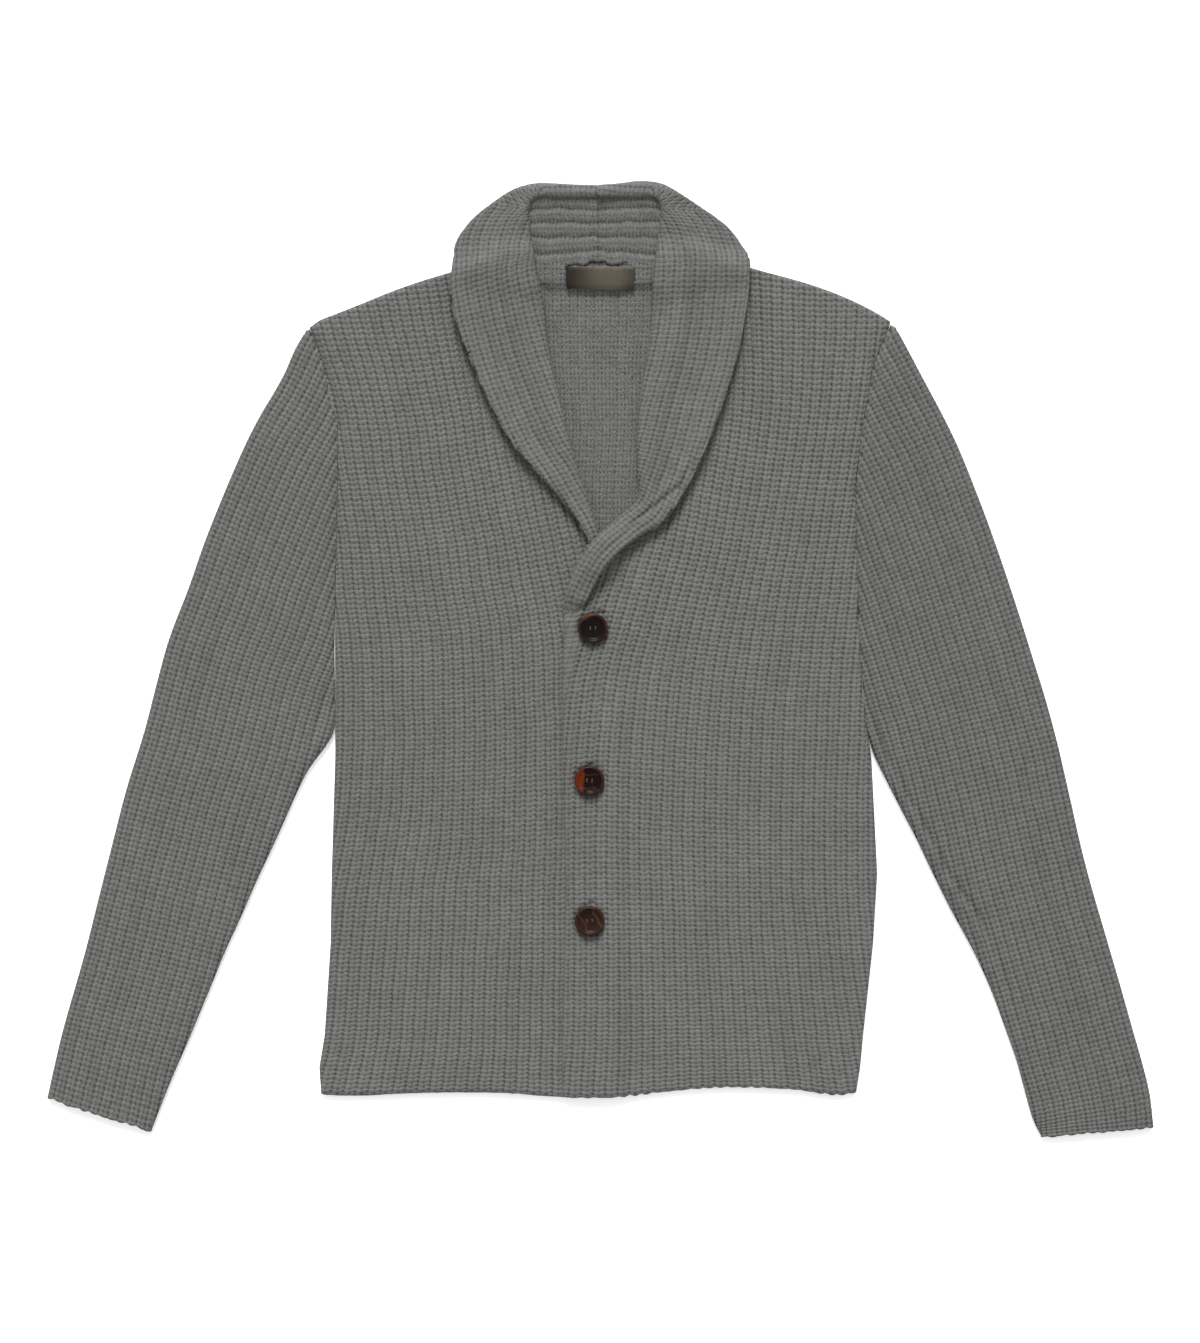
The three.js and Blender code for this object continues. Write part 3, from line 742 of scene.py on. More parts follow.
@dataclass
class Back(KnitPiece):
    """The back panel. Its outer face lies on the table, and its inner face shows at the neck."""

    cut: BodyCut = BodyCut()
    wale_count: int = 54
    # the purl side that shows in the neck: finer, with a deeper line at every third wale
    purl: Stitches = Stitches(
        0.55 * MM, 0.1 * MM, slant=0.0, leg_depth=0.35 * MM, hole_depth=0.45 * MM
    )
    purl_fineness: float = 1.31
    purl_line: float = 1.0 * MM
    # the part of the inner face that shows: how far from the middle, and above which height
    neck_half: float = 66 * MM
    neck_bottom: float = 92 * MM
    gauge: Gauge = Gauge.PLAIN
    area: float = 0.326

    def flat_face(self) -> tuple[KnitFace, Array]:
        """Works out where each stitch lies in plan.

        Returns:
            The face, and how far each point was from the nearer side before its top was cut.
        """
        per_wale, per_course = self.gauge.value
        hem = self.cut.hem
        height = self.cut.neck_height - hem
        course_count = int(height / ROW)
        v = np.linspace(0, course_count, course_count * per_course + 1)[:, None]
        u = np.linspace(0, self.wale_count, self.wale_count * per_wale + 1)[None, :]
        y = hem + height * v / course_count + 0 * u
        left, right = self.cut.side(y, Side.LEFT), self.cut.side(y, Side.RIGHT)
        x = left + (right - left) * u / self.wale_count
        y = y + self.cut.hem_drop(x, y) + 1.0 * MM * np.exp(-(y - hem) / (9 * MM))
        face = cut_ends(KnitFace.laid(x, y, u, v), self.cut.back_top(x) - y, 0)
        x = face.plan[0]
        return face, np.minimum(np.abs(x - left), np.abs(x - right))

    def faces(self, pile: Pile) -> tuple[KnitFace, KnitFace]:
        """Works out the outer face below and the inner face above.

        Args:
            pile: The cloth that the back lies on.

        Returns:
            The outer face and the inner one, point over point.
        """
        flat, to_side = self.flat_face()
        x, y = flat.plan
        seat = pile.seat(x, y)
        relief = self.stitches.relief(flat.wales, flat.courses)
        low = seat + (0.45 * self.stitches.rib_height - relief)
        scooped = np.where(np.abs(x) < self.cut.neck_left, 3 * MM, 0)
        edge = np.minimum.reduce([
            np.where(y < self.cut.armpit, to_side, WALL),
            self.cut.back_top(x) - y + scooped,
            y - self.cut.hem,
        ])
        share = bullnose(edge, WALL)
        outer = flat.at_height(seat + (low - seat) * share + (1 - share) * 0.6 * WALL)
        fine = flat.wales * self.purl_fineness
        purl = self.purl.relief(fine, flat.courses)
        line = (1 - np.abs(np.sin(math.pi * fine / 3))) ** 2
        purl = purl - self.purl_line * line + 0.2 * MM
        inner = flat.at_height(seat + WALL - 0.5 * MM + purl + self.crease_relief(x, y))
        inner.wales = fine
        return outer, inner

    def build(self, pile: Pile) -> Piece:
        """Builds the back, finely only where its inner face shows in the neck.

        Args:
            pile: The cloth that the back lies on.

        Returns:
            The finished object.
        """
        outer, inner = self.faces(pile)
        per_wale, per_course = self.gauge.value
        x, y = inner.plan
        middle = np.where(np.abs(x[len(x) // 2]) < self.neck_half)[0]
        top = np.where(y[:, y.shape[1] // 2] > self.neck_bottom)[0]
        rows = kept(outer.shape[0], per_course, top)
        columns = kept(outer.shape[1], per_wale, middle)
        shell = Shell()
        shell.add_cloth(outer, inner.points, rows, columns, inner_wales=inner.wales)
        piece = self.finish(shell)
        self.top = inner.points
        return piece


@dataclass
class Front(KnitPiece):
    """A front: its wales run up from the hem and lean with the neckline near the collar."""

    side: Side = Side.RIGHT
    cut: BodyCut = BodyCut()
    neck: NeckCut = RIGHT_NECK
    # the closing edge, and how many wales lie on each side of the guide
    edge: float = 15 * MM
    wale_count: float = 23.5
    hidden_wales: float = 6
    # height and place of the wale that comes up beside the closing edge
    guide: Rows = ()
    # height, and how wide a wale is there
    widths: Rows = ()
    # height, and how steeply the courses climb towards the closing edge, in thousandths
    climbs: Rows = (
        (-255, 0), (-195, 35), (-136, 70), (-76, 87), (-17, 115), (43, 145), (102, 200),
        (162, 225), (221, 215), (300, 200),
    )
    # height, and how tall a course is there
    pitches: Rows = (
        (-367, 3.6), (-322, 3.68), (-255, 3.85), (-195, 4.02), (-76, 4.08), (43, 4.2),
        (102, 4.4), (162, 4.62), (221, 4.8), (300, 4.72),
    )
    # how wide the plainer strip along the closing edge is, and where it ends at the lapel
    strip: float = 0.0
    strip_top: float = 46 * MM
    # how far the cloth sinks at the side seam of the chest, and rises beside it
    seam_depth: float = 2.2 * MM
    seam_swell: float = 0.9 * MM
    gauge: Gauge = Gauge.FINE
    area: float = 0.165

    def across(self, k: Array, y: Array) -> Array:
        """The X of a wale at a height."""
        return curve(self.guide, y) + self.side.value * k * curve(self.widths, y)

    def climb(self, x: Array, y: Array) -> Array:
        """How much higher a course stands at a place than at the side."""
        rows = np.array(self.climbs)
        slope = smooth_through(rows[:, 0] * MM, rows[:, 1] / 1000, y)
        near, reach = 50 * MM, 180 * MM
        share = np.clip((np.abs(x) - near) / reach, 0, 1)
        far = reach * ((1 - share) / 2 - np.sin(math.pi * share) / (2 * math.pi))
        return slope * (far + np.maximum(near - np.abs(x), 0))

    def course_heights(self, per_course: int) -> tuple[Array, Array]:
        """The place along the courses of each row of points, and its height at the side."""
        heights = np.linspace(self.cut.hem, self.cut.neck_height + 5 * MM, 400)
        known, pitches = np.array(self.pitches).T
        pitch = np.interp(heights / MM, known, pitches) * MM
        courses = np.concatenate([[0], np.cumsum(np.diff(heights) / pitch[1:])])
        total = int(courses[-1])
        v = np.linspace(0, total, total * per_course + 1)
        return v, np.interp(v, courses, heights)

    def face(self) -> KnitFace:
        """Works out where each stitch lies in plan."""
        per_wale, per_course = self.gauge.value
        count = int(round((self.wale_count + self.hidden_wales) * per_wale))
        k = np.linspace(-self.hidden_wales, self.wale_count, count + 1)[None, :]
        if self.side is Side.RIGHT:
            k = k[:, ::-1]
        v, height = self.course_heights(per_course)
        y = height[:, None] + 0 * k
        y = y + self.climb(self.across(k, y), y)
        x = self.across(k, y)
        scallop = 0.9 * MM * (1 - np.abs(np.sin(math.pi * k))) + 0.5 * MM * waver(x, y, 9 * MM, 31)
        y = y + scallop * np.exp(-(y - self.cut.hem) / (5 * MM))
        bend = fade(y, self.cut.hem, self.cut.hem + 40 * MM)
        x = x + 0.5 * MM * waver(x, y, 70 * MM, 3 + self.side.value) * bend
        y = y + self.cut.hem_drop(x, y) + 0.5 * MM * waver(x, y, 60 * MM, 9) * bend
        face = cut_ends(KnitFace.laid(x, y, k, v[:, None]), self.cut.shoulder_line(x) - y, 0)
        return cut_ends(face, self.room(face), 1)

    def inner_edge(self, y: Array) -> Array:
        """The X of the closing edge, and of the neckline seam above it."""
        start = self.neck.lapel[0][1] * MM
        sway = 1.3 * MM * np.sin((y - start) / (48 * MM)) * fade(start - y, 0, 60 * MM)
        seam = self.neck.seam(y)
        if self.side is Side.LEFT:
            seam = seam + (self.edge - seam) * fade(y, start + 34 * MM, start)
        return np.where(y < start, self.edge + sway, seam)

    def room(self, face: KnitFace) -> Array:
        """How far inside the closing edge, the neckline and the side each point is."""
        x, y = face.plan
        way = self.side.value
        inner = way * (x - self.inner_edge(y))
        outer = way * (self.cut.side(y, self.side) - x) + 1e-6
        return np.minimum(inner, outer)

    def top_height(self, x: Array, y: Array) -> Array:
        """How high the top stands over its seat, with its creases and its side seam."""
        to_side = np.abs(x - self.cut.side(y, self.side))
        seam = fade(y, self.cut.armpit - 10 * MM, self.cut.armpit + 40 * MM)
        groove = self.seam_depth * hump(to_side, 3.4 * MM) * seam
        swell = self.seam_swell * hump(to_side - 12 * MM, 7 * MM) * seam
        return WALL - 0.5 * MM + self.crease_relief(x, y) - groove + swell

    def rounding(self, x: Array, y: Array) -> Array:
        """The share of the wall's height that is left at the rounded edges."""
        to_side = np.abs(x - self.cut.side(y, self.side))
        edge = np.minimum.reduce([
            np.where(y < self.cut.armpit, to_side, WALL),
            0.93 * (self.cut.shoulder_line(x) - y),
            np.abs(x - self.inner_edge(y)) * np.where(y < 40 * MM, 0.8, 1),
            y - self.cut.hem - self.cut.hem_drop(x, y),
        ])
        return bullnose(edge, WALL)

    def surface(self, pile: Pile) -> tuple[KnitFace, Array]:
        """Sets the front's heights on the pile.

        Args:
            pile: The cloth that the front lies on.

        Returns:
            The outer face and the inner points.
        """
        face = self.face()
        x, y = face.plan
        seat = pile.seat(x, y)
        if self.side is Side.LEFT:
            seat = np.maximum(seat, smoothed(seat.T, 26).T)
        share = self.rounding(x, y)
        strip = self.strip * fade(y, -40 * MM, 10 * MM) * (y < self.strip_top)
        plain = np.abs(x - self.inner_edge(y)) + 1.2 * MM * waver(x, y, 15 * MM, 61) < strip
        wales = np.where(plain, np.floor(face.wales) + 0.3, face.wales)
        stitches = replace(self.stitches, twist=0.1 * self.side.value)
        relief = stitches.relief(wales, face.courses)
        relief = relief * (0.75 + 0.4 * fade(y, -120 * MM, 150 * MM))
        beside = self.creases[0]
        relief = relief * (1 - 0.75 * np.minimum(beside.relief(x, y) / beside.depth, 0))
        top = self.top_height(x, y)
        outer = face.at_height(seat + top * (0.25 + 0.75 * share) + relief * (0.3 + 0.7 * share))
        outer.wales = wales
        return outer, face.at_height(seat).points

    def build(self, pile: Pile) -> Piece:
        """Builds the front and lays it on the pile.

        Args:
            pile: The cloth that the front lies on.

        Returns:
            The finished object.
        """
        outer, inner = self.surface(pile)
        per_wale, per_course = self.gauge.value
        shell = Shell()
        shell.add_cloth(
            outer, inner, kept(outer.shape[0], per_course), kept(outer.shape[1], per_wale)
        )
        piece = self.finish(shell)
        self.top = outer.points
        pile.lay(outer.points)
        return piece


@dataclass
class Sleeve(KnitPiece):
    """A sleeve: a flattened tube folded at its upper edge, with its wales along that fold."""

    side: Side = Side.RIGHT
    cut: BodyCut = BodyCut()
    # folded edge x and y, and the height where the row meets the armhole
    cap: Rows = ()
    # folded edge x and y, and the underarm seam x and y
    arm: Rows = ()
    wale_count: float = 19.0
    # how wide a wale is at the shoulder, below the armpit and at the cuff
    wale_widths: tuple[float, float, float] = (8.6, 8.45, 8.1)
    # the height between the two layers of the tube
    middle: float = WALL + GAP / 2
    # how far the upper layer bulges, and how deep it sinks along the armhole seam
    puff: float = 1.6 * MM
    seam_depth: float = 2.6 * MM
    # the angles of the rows that round the cuff's lip
    lip_angles: tuple[float, ...] = (40, 80, 120, 150, 180)
    gauge: Gauge = Gauge.FINE
    area: float = 0.150

    def rows(self) -> tuple[Array, Array, Array]:
        """The fold, the inner end and the share below the armpit of each row of the tables."""
        fold, inner, below = [], [], []
        clear = self.side.value * GAP
        for x, y, meets in table(self.cap):
            fold.append((x, y))
            inner.append((float(self.cut.side(np.array(meets), self.side)) + clear, meets))
            below.append(0.0)
        for x, y, inner_x, inner_y in table(self.arm):
            fold.append((x, y))
            inner.append((inner_x, inner_y))
            below.append(1.0)
        return np.array(fold), np.array(inner), np.array(below)

    def turn(self, arc: Array) -> Array:
        """How far a stitch has turned round the fold, up to a right angle."""
        return np.clip(np.abs(arc) / self.middle, 0, math.pi / 2)

    def base_face(self) -> tuple[KnitFace, Array]:
        """Works out the smooth face under the stitches, on both layers of the tube.

        Returns:
            The face, and the direction in which the sleeve runs out at the cuff.
        """
        fold, inner, below = self.rows()
        per_wale, per_course = self.gauge.value
        middle, knots = self.middle, distances(fold)
        v, at = courses_along(knots[-1], ROW, per_course)
        start, end = smooth_through(knots, fold, at), smooth_through(knots, inner, at)
        under_arm = np.interp(at, knots, below)[:, None]
        way, width = unit(end - start)
        along, _ = unit(np.gradient(start, axis=0))
        half = int(self.wale_count * per_wale)
        k = np.linspace(self.wale_count, -self.wale_count, 2 * half + 1)[None, :]
        arc = k * np.interp(at / knots[-1], [0, 0.4, 1], self.wale_widths)[:, None] * MM
        straight = np.maximum(np.abs(arc) - middle * math.pi / 2, 0)
        reach = middle * (1 - np.cos(self.turn(arc))) + straight
        face = cut_ends(KnitFace.laid(reach, arc, k, v[:, None]), width - reach, 1)
        reach, arc = face.plan
        round_fold = np.sin(self.turn(arc))
        x = start[:, None, 0] + way[:, None, 0] * reach
        y = start[:, None, 1] + way[:, None, 1] * reach
        x = x + 0.45 * MM * waver(x, y, 60 * MM, 5 + self.side.value) * round_fold
        y = y + 0.45 * MM * waver(x, y, 60 * MM, 15) * round_fold
        to_seam = width - reach
        closing = bullnose(to_seam + 0.2 * MM, 8 * MM)
        level = round_fold * (under_arm * closing + (1 - under_arm))
        level = level * bullnose(at[:, None] + 0.3 * MM, 5 * MM)
        share = np.clip(reach / width, 0, 1)
        puff = self.puff * np.sin(math.pi * share) ** 0.6 * (0.4 + 0.6 * under_arm)
        top = middle + puff + self.crease_relief(x, y) * fade(reach, 0, 10 * MM)
        groove = self.seam_depth * hump(to_seam, 4.5 * MM) * (1 - under_arm)
        upper = middle + (top - 0.5 * MM - groove) * level
        z = np.where(np.sign(arc) >= 0, upper, middle - (middle - 0.5 * MM) * level)
        base = KnitFace(np.stack([x, y, z], axis=2), face.wales, face.courses)
        if np.mean(base.normals()[:, : half // 2, 2]) < 0:
            base = base.turned()
        return base, np.append(along[-1], 0)

    def lip(self, base: KnitFace, last: Array, into: Array, tip: Array) -> KnitFace:
        """Rounds the cuff's edge with a few rows beyond the last one.

        Args:
            base: The smooth face under the stitches.
            last: The outer points of the last row.
            into: The way from each of them through the cloth.
            tip: The direction in which the sleeve runs out.

        Returns:
            The extra rows.
        """
        points = []
        for angle in np.radians(self.lip_angles):
            row = last * (1 - angle / math.pi) + base.points[-1] * (angle / math.pi)
            scallop = 0.8 * MM * (np.abs(np.sin(math.pi * base.wales[-1])) - 0.5)
            scallop = scallop + 0.7 * MM * waver(row[:, 0], row[:, 1], 12 * MM, 41)
            out = tip * 0.5 * WALL * math.sin(angle)
            inwards = into * 0.5 * (1 - math.cos(angle))
            points.append(row + out - inwards + tip * scallop[:, None] * math.sin(angle))
        count = len(points)
        courses = base.courses[-1:] + np.arange(1, count + 1)[:, None] / 3
        return KnitFace(np.array(points), np.repeat(base.wales[-1:], count, 0), courses)

    def build(self) -> Piece:
        """Builds the sleeve on the table, as a shell that is open at the cuff."""
        base, tip = self.base_face()
        per_wale, per_course = self.gauge.value
        normal = base.normals()
        points = base.points + normal * self.stitches.relief(base.wales, base.courses)[..., None]
        points[..., 2] = np.maximum(points[..., 2], 0)
        spare = 0.92 * np.abs(base.points[..., 2:] - self.middle) + 0.2 * MM
        thick = np.minimum(WALL - 0.4 * MM, spare)
        inner = base.points - normal * thick
        lip = self.lip(base, points[-1], normal[-1] * thick[-1], tip)
        outer = KnitFace(
            np.concatenate([points, lip.points]),
            np.concatenate([base.wales, lip.wales]),
            np.concatenate([base.courses, lip.courses]),
        )
        inner = np.concatenate([inner, np.repeat(inner[-1:], len(lip.points), 0)])
        rows = np.append(kept(len(points), per_course), len(inner) - 1)
        shell = Shell()
        shell.add_cloth(outer, inner, rows, kept(outer.shape[1], per_wale), wrap=True)
        piece = self.finish(shell)
        return piece


@dataclass
class FallPath:
    """The way across a fall at each course: round the roll, flat, round the fold and back.

    ``way`` and ``back`` are the directions of the flat part and of the part under the fold,
    and ``wrapped`` is the share of a fold that there is. Each array has a row for each course.
    """

    at: Array
    roll: Array
    way: Array
    width: Array
    back: Array
    back_length: Array
    wrapped: Array
    roll_radius: Array
    fold_radius: Array

    @property
    def turns(self) -> tuple[Array, Array, Array]:
        """The lengths of the bend of the roll, of the flat part and of the bend of the fold."""
        flat = self.width - self.fold_radius - self.roll_radius
        return math.pi * self.roll_radius, flat, math.pi * self.fold_radius

    @property
    def length(self) -> Array:
        """The whole length across, from the roll's start to the edge."""
        first, flat, second = self.turns
        return first + flat + np.where(self.wrapped > 0.02, second, 0) + self.back_length

    def follow(self, arc: Array) -> tuple[Array, ...]:
        """Follows the way over some lengths.

        Args:
            arc: How far across each stitch is, negative in the tuck under the roll.

        Returns:
            Its X, its Y, its reach from the roll edge, and its turns round roll and fold.
        """
        first, flat, second = self.turns
        turn = np.clip(arc / self.roll_radius, 0, math.pi)
        turn_back = np.clip((arc - first - flat) / self.fold_radius, 0, math.pi)
        past = np.maximum(arc - first - flat - second, 0)
        reach = (
            self.roll_radius * (1 - np.sin(turn))
            + np.maximum(-arc, 0)
            + np.clip(arc - first, 0, flat)
            + self.fold_radius * np.sin(turn_back)
        )
        plan = self.roll[:, None] + self.way * reach[..., None] + self.back * past[..., None]
        return plan[..., 0], plan[..., 1], reach, turn, turn_back


@dataclass
class CollarHalf(KnitPiece):
    """A collar half: the fall that rolls over its own stand, and the stand behind the neck."""

    side: Side = Side.RIGHT
    neck: NeckCut = RIGHT_NECK
    # how wide the fall is knitted, and how much of it is tucked in under the roll
    depth: float = 82 * MM
    tuck: float = 8 * MM
    # how far from its pointed end the collar has its full thickness
    merge: float = 34 * MM
    # the share of the lapel's length, and how far its free edge stands off the front there
    lift: Rows = ((0, 0.3), (0.25, 3.2), (0.5, 4.0), (0.8, 2.6), (1, 1))
    # how many wales the stand has, how tall its courses are, and its stretched stitches
    stand_wales: float = 5.6
    stand_row: float = 3.4 * MM
    stand_stitches: Stitches = Stitches(
        2.3 * MM, 0.25 * MM, 0.5, 0.9, leg_depth=0.8 * MM, hole_depth=0.1 * MM
    )
    stand_knit: KnitFinish | None = None
    # the X of the middle of the neck
    centre: float = -3 * MM
    gauge: Gauge = Gauge.FINE
    area: float = 0.050

    def __post_init__(self) -> None:
        """Works out the roll, the fold and the edge from the lapel and nape rows."""
        lapel, nape = table(self.neck.lapel), table(self.neck.nape)
        way, _ = unit(lapel[:, 0:2] - lapel[:, 2:4])
        self.roll_rows = np.concatenate([lapel[:, 2:4], nape[:, 0:2]])
        outer = lapel[:, 2:4] + way * lapel[:, 4:5]
        self.fold_rows = np.concatenate([outer, nape[:, 2:4]])
        self.edge_rows = np.concatenate([outer, nape[:, 4:6]])
        steps = 0.35 * np.hypot(*np.diff(self.roll_rows, axis=0).T)
        steps += 0.65 * np.hypot(*np.diff(self.fold_rows, axis=0).T)
        self.knots = np.concatenate([[0], np.cumsum(steps)])
        self.lapel_end = self.knots[len(lapel) - 1]

    def lines(self, at: Array) -> tuple[Array, Array, Array]:
        """The roll, the fold and the edge at some lengths along the collar."""
        rows = (self.roll_rows, self.fold_rows, self.edge_rows)
        return tuple(smooth_through(self.knots, values, at) for values in rows)

    def stand_face(self) -> KnitFace:
        """Where the stitches of the stand behind the neck lie in plan."""
        rows = table(self.neck.stand)
        knots = distances(rows[:, :2])
        per_wale, per_course = self.gauge.value
        v, length = courses_along(knots[-1], self.stand_row, per_course)
        at = smooth_through(knots, rows, length)
        columns = int(self.stand_wales * per_wale)
        share = np.linspace(0, 1, columns + 1)[None, :]
        x, y = (
            at[:, i, None] * (1 - share) + at[:, i + 2, None] * share for i in (0, 1)
        )
        u = share * self.stand_wales + 0 * x
        aside = np.clip(np.abs(x - self.centre) / (50 * MM), 0, 1)
        sag = 5.2 * MM * hump(u - 0.6, 1.3)
        y = y - (sag * aside + 0.7 * MM * waver(x, y, 24 * MM, 52))
        pucker = 1.7 * MM * waver(x, 0 * y, 8 * MM, 53) - 0.9 * MM * (aside < 0.6)
        y = y + pucker * hump(u, 0.5) * (aside < 1)
        face = KnitFace.laid(x, y, u, v[:, None])
        return face.turned() if np.mean(face.normals()[..., 2]) < 0 else face

    def underside_points(self) -> Array:
        """The hidden part of the fall under the back, closely spaced, at its own height."""
        first = self.lapel_end / self.knots[-1]
        _, fold, edge = self.lines(np.linspace(first, 1, 300) * self.knots[-1])
        share = np.linspace(0, 1, 80)[None, :, None]
        plan = fold[:, None] * (1 - share) + edge[:, None] * share
        return np.concatenate([plan, np.full((*plan.shape[:2], 1), WALL)], axis=2)

    def hidden_stand(self, pile: Pile) -> Array:
        """The stand under the lapel, closely spaced.

        Args:
            pile: The cloth that it lies on.

        Returns:
            Its points, at their heights on the pile.
        """
        joint = (*self.neck.stand[0][:2], *self.neck.nape[0][:2], 0)
        rows = table([*self.neck.lapel, joint])
        place = np.linspace(0, len(rows) - 1, 400)
        at = smooth_through(np.arange(len(rows), dtype=float), rows, place)
        share = np.linspace(0.02, 1, 40)[None, :, None]
        plan = at[:, None, 2:4] * (1 - share) + at[:, None, 0:2] * share
        low = pile.seat(plan[..., 0], plan[..., 1])
        high = low + (WALL + GAP) * fade(place, 0.2, 2.6)[:, None] - GAP
        return np.concatenate([plan, high[..., None]], axis=2)

    def lay_stand(self, pile: Pile) -> tuple[KnitFace, Array]:
        """Sets the stand's heights on the pile.

        Args:
            pile: The cloth that the stand lies on.

        Returns:
            The stand's outer face and its inner points.
        """
        face = self.stand_face()
        x, y = face.plan
        seat = pile.seat(x, y)
        relief = self.stand_stitches.relief(face.wales, face.courses)
        lip = 1.6 * MM - 1.3 * MM * fade(np.abs(x - self.centre), 24 * MM, 34 * MM)
        to_edge = np.minimum(face.wales, self.stand_wales - face.wales) * 11 * MM
        share = bullnose(to_edge + lip, WALL)
        rise = 5.0 * MM * fade(face.wales, 0.8, 5.4)
        high = seat + (WALL - 0.6 * MM) * share + relief + rise + self.crease_relief(x, y)
        high[-1] -= 0.8 * MM
        return face.at_height(high), face.at_height(seat).points

    def fall_path(self, at: Array, below: Pile, beneath: Pile) -> FallPath:
        """Works out the way across the fall at each course.

        Args:
            at: How far along the collar each course is.
            below: The cloth under the collar's stand.
            beneath: The cloth and the stand that the fall lies on.

        Returns:
            The way, with bends as round as what lies inside them is thick.
        """
        roll, fold, edge = self.lines(at)
        way, width = unit(fold - roll)
        back, back_length = unit(edge - fold)
        way, back = way[:, None, :], back[:, None, :]
        wrapped = fade(back_length, 0, 14 * MM)
        here = roll[:, None] + way * 6 * MM
        thick = beneath.seat(here[..., 0], here[..., 1]) + WALL
        thick = thick - below.seat(here[..., 0], here[..., 1])
        roll_radius = smoothed(np.clip(0.5 * thick, 1.9 * MM, 4.2 * MM), 24)
        rim = roll[:, None] + way * (width[:, None] - 5 * MM)
        high = smoothed(beneath.seat(rim[..., 0], rim[..., 1]) + WALL, 18)
        fold_radius = np.minimum(0.5 * high, 0.45 * width) * wrapped
        fold_radius = np.maximum(fold_radius, 0.01 * MM)
        return FallPath(
            at[:, None], roll, way, width, back, back_length, wrapped, roll_radius, fold_radius
        )

    def fall_stitches(self, path: FallPath, courses: Array) -> KnitFace:
        """Spreads the fall's wales over its width, in bends and flat alike.

        Args:
            path: The way across the fall.
            courses: The place along the courses of each row of points.

        Returns:
            A face whose X is how far across each stitch is.
        """
        per_wale = self.gauge.value[0]
        columns = int((self.depth + self.tuck + 36 * MM) / RIB * per_wale)
        first = -self.tuck / RIB
        k = np.linspace(first, columns / per_wale + first, columns + 1)[None, :]
        nape = fade(path.at, self.lapel_end + 45 * MM, self.lapel_end + 90 * MM)
        leaning = 0.6 * (np.max(path.width) - path.width) * (1 - nape)
        arc = k * (RIB + 0.4 * MM + 3.0 * MM * nape) + 7 * MM * nape - leaning
        face = KnitFace.laid(arc, 0 * arc, k, courses[:, None])
        return cut_ends(face, np.minimum(path.length - arc, arc + self.tuck + 1e-6), 1)

    def fall_top(
        self, path: FallPath, x: Array, y: Array, reach: Array, beneath: Pile
    ) -> tuple[Array, Array]:
        """Works out how high the fall's upper face stands.

        Args:
            path: The way across the fall.
            x: Places along X.
            y: Places along Y.
            reach: How far from the roll edge they are.
            beneath: The cloth and the stand that the fall lies on.

        Returns:
            The height, and how far the fall is sunk into the front at the collar's end.
        """
        grown = fade(path.at, 7 * MM, self.merge)
        shares, lifts = np.array(self.lift).T
        lift = smooth_through(shares, lifts * MM, np.clip(path.at / self.lapel_end, 0, 1))
        lift = lift * (1 - path.wrapped) * fade(path.width - reach, 24 * MM, 3 * MM) * grown
        bed = beneath.seat(x, y)
        bed = np.maximum(bed, smoothed(bed.T, 16).T)
        bed = smoothed(smoothed(bed.T, 5).T, 7)
        level = (1 - grown) * fade(path.at, 3 * MM, 14 * MM)
        bed = bed * (1 - level) + np.max(bed, axis=1, keepdims=True) * level
        sunk = 3.2 * MM * fade(path.at, 20 * MM, 3 * MM)
        top = bed + (WALL + 0.3 * MM) * grown - 0.8 * MM + lift - sunk
        return top + self.crease_relief(x, y) * fade(reach, 3 * MM, 12 * MM), sunk

    def fall_face(self, below: Pile, beneath: Pile) -> tuple[KnitFace, Array]:
        """Works out the fall, from its tuck under the roll to its edge.

        Args:
            below: The cloth under the collar's stand.
            beneath: The cloth and the stand that the fall lies on.

        Returns:
            The fall's outer face and its inner points.
        """
        courses, at = courses_along(self.knots[-1], ROW, self.gauge.value[1])
        path = self.fall_path(at, below, beneath)
        face = self.fall_stitches(path, courses)
        arc = face.plan[0]
        x, y, reach, turn, turn_back = path.follow(arc)
        rise = 0.5 * (1 - np.cos(turn)) * 0.5 * (1 + np.cos(turn_back))
        top, sunk = self.fall_top(path, x, y, reach, beneath)
        tucked = below.seat(x, y) + 0.3 * MM - 1.4 * sunk
        low = np.where(turn_back > 0.01, 0.4 * MM, tucked)
        z = low + (top - low) * rise
        base = KnitFace(np.stack([x, y, z], axis=2), face.wales, face.courses)
        bent = (1 - 0.4 * np.sin(turn)) * (1 - 0.7 * np.sin(turn_back))
        to_end = np.minimum(path.length - arc, path.at + 0.3 * MM)
        if np.mean(base.normals()[..., 2][rise > 0.98]) < 0:
            base = base.turned()
            rise, bent, to_end = (part[:, ::-1] for part in (rise, bent, to_end))
        self.top_mask = rise > 0.9
        return self.fall_relief(base, bent, bullnose(to_end, 3.2 * MM)[..., None])

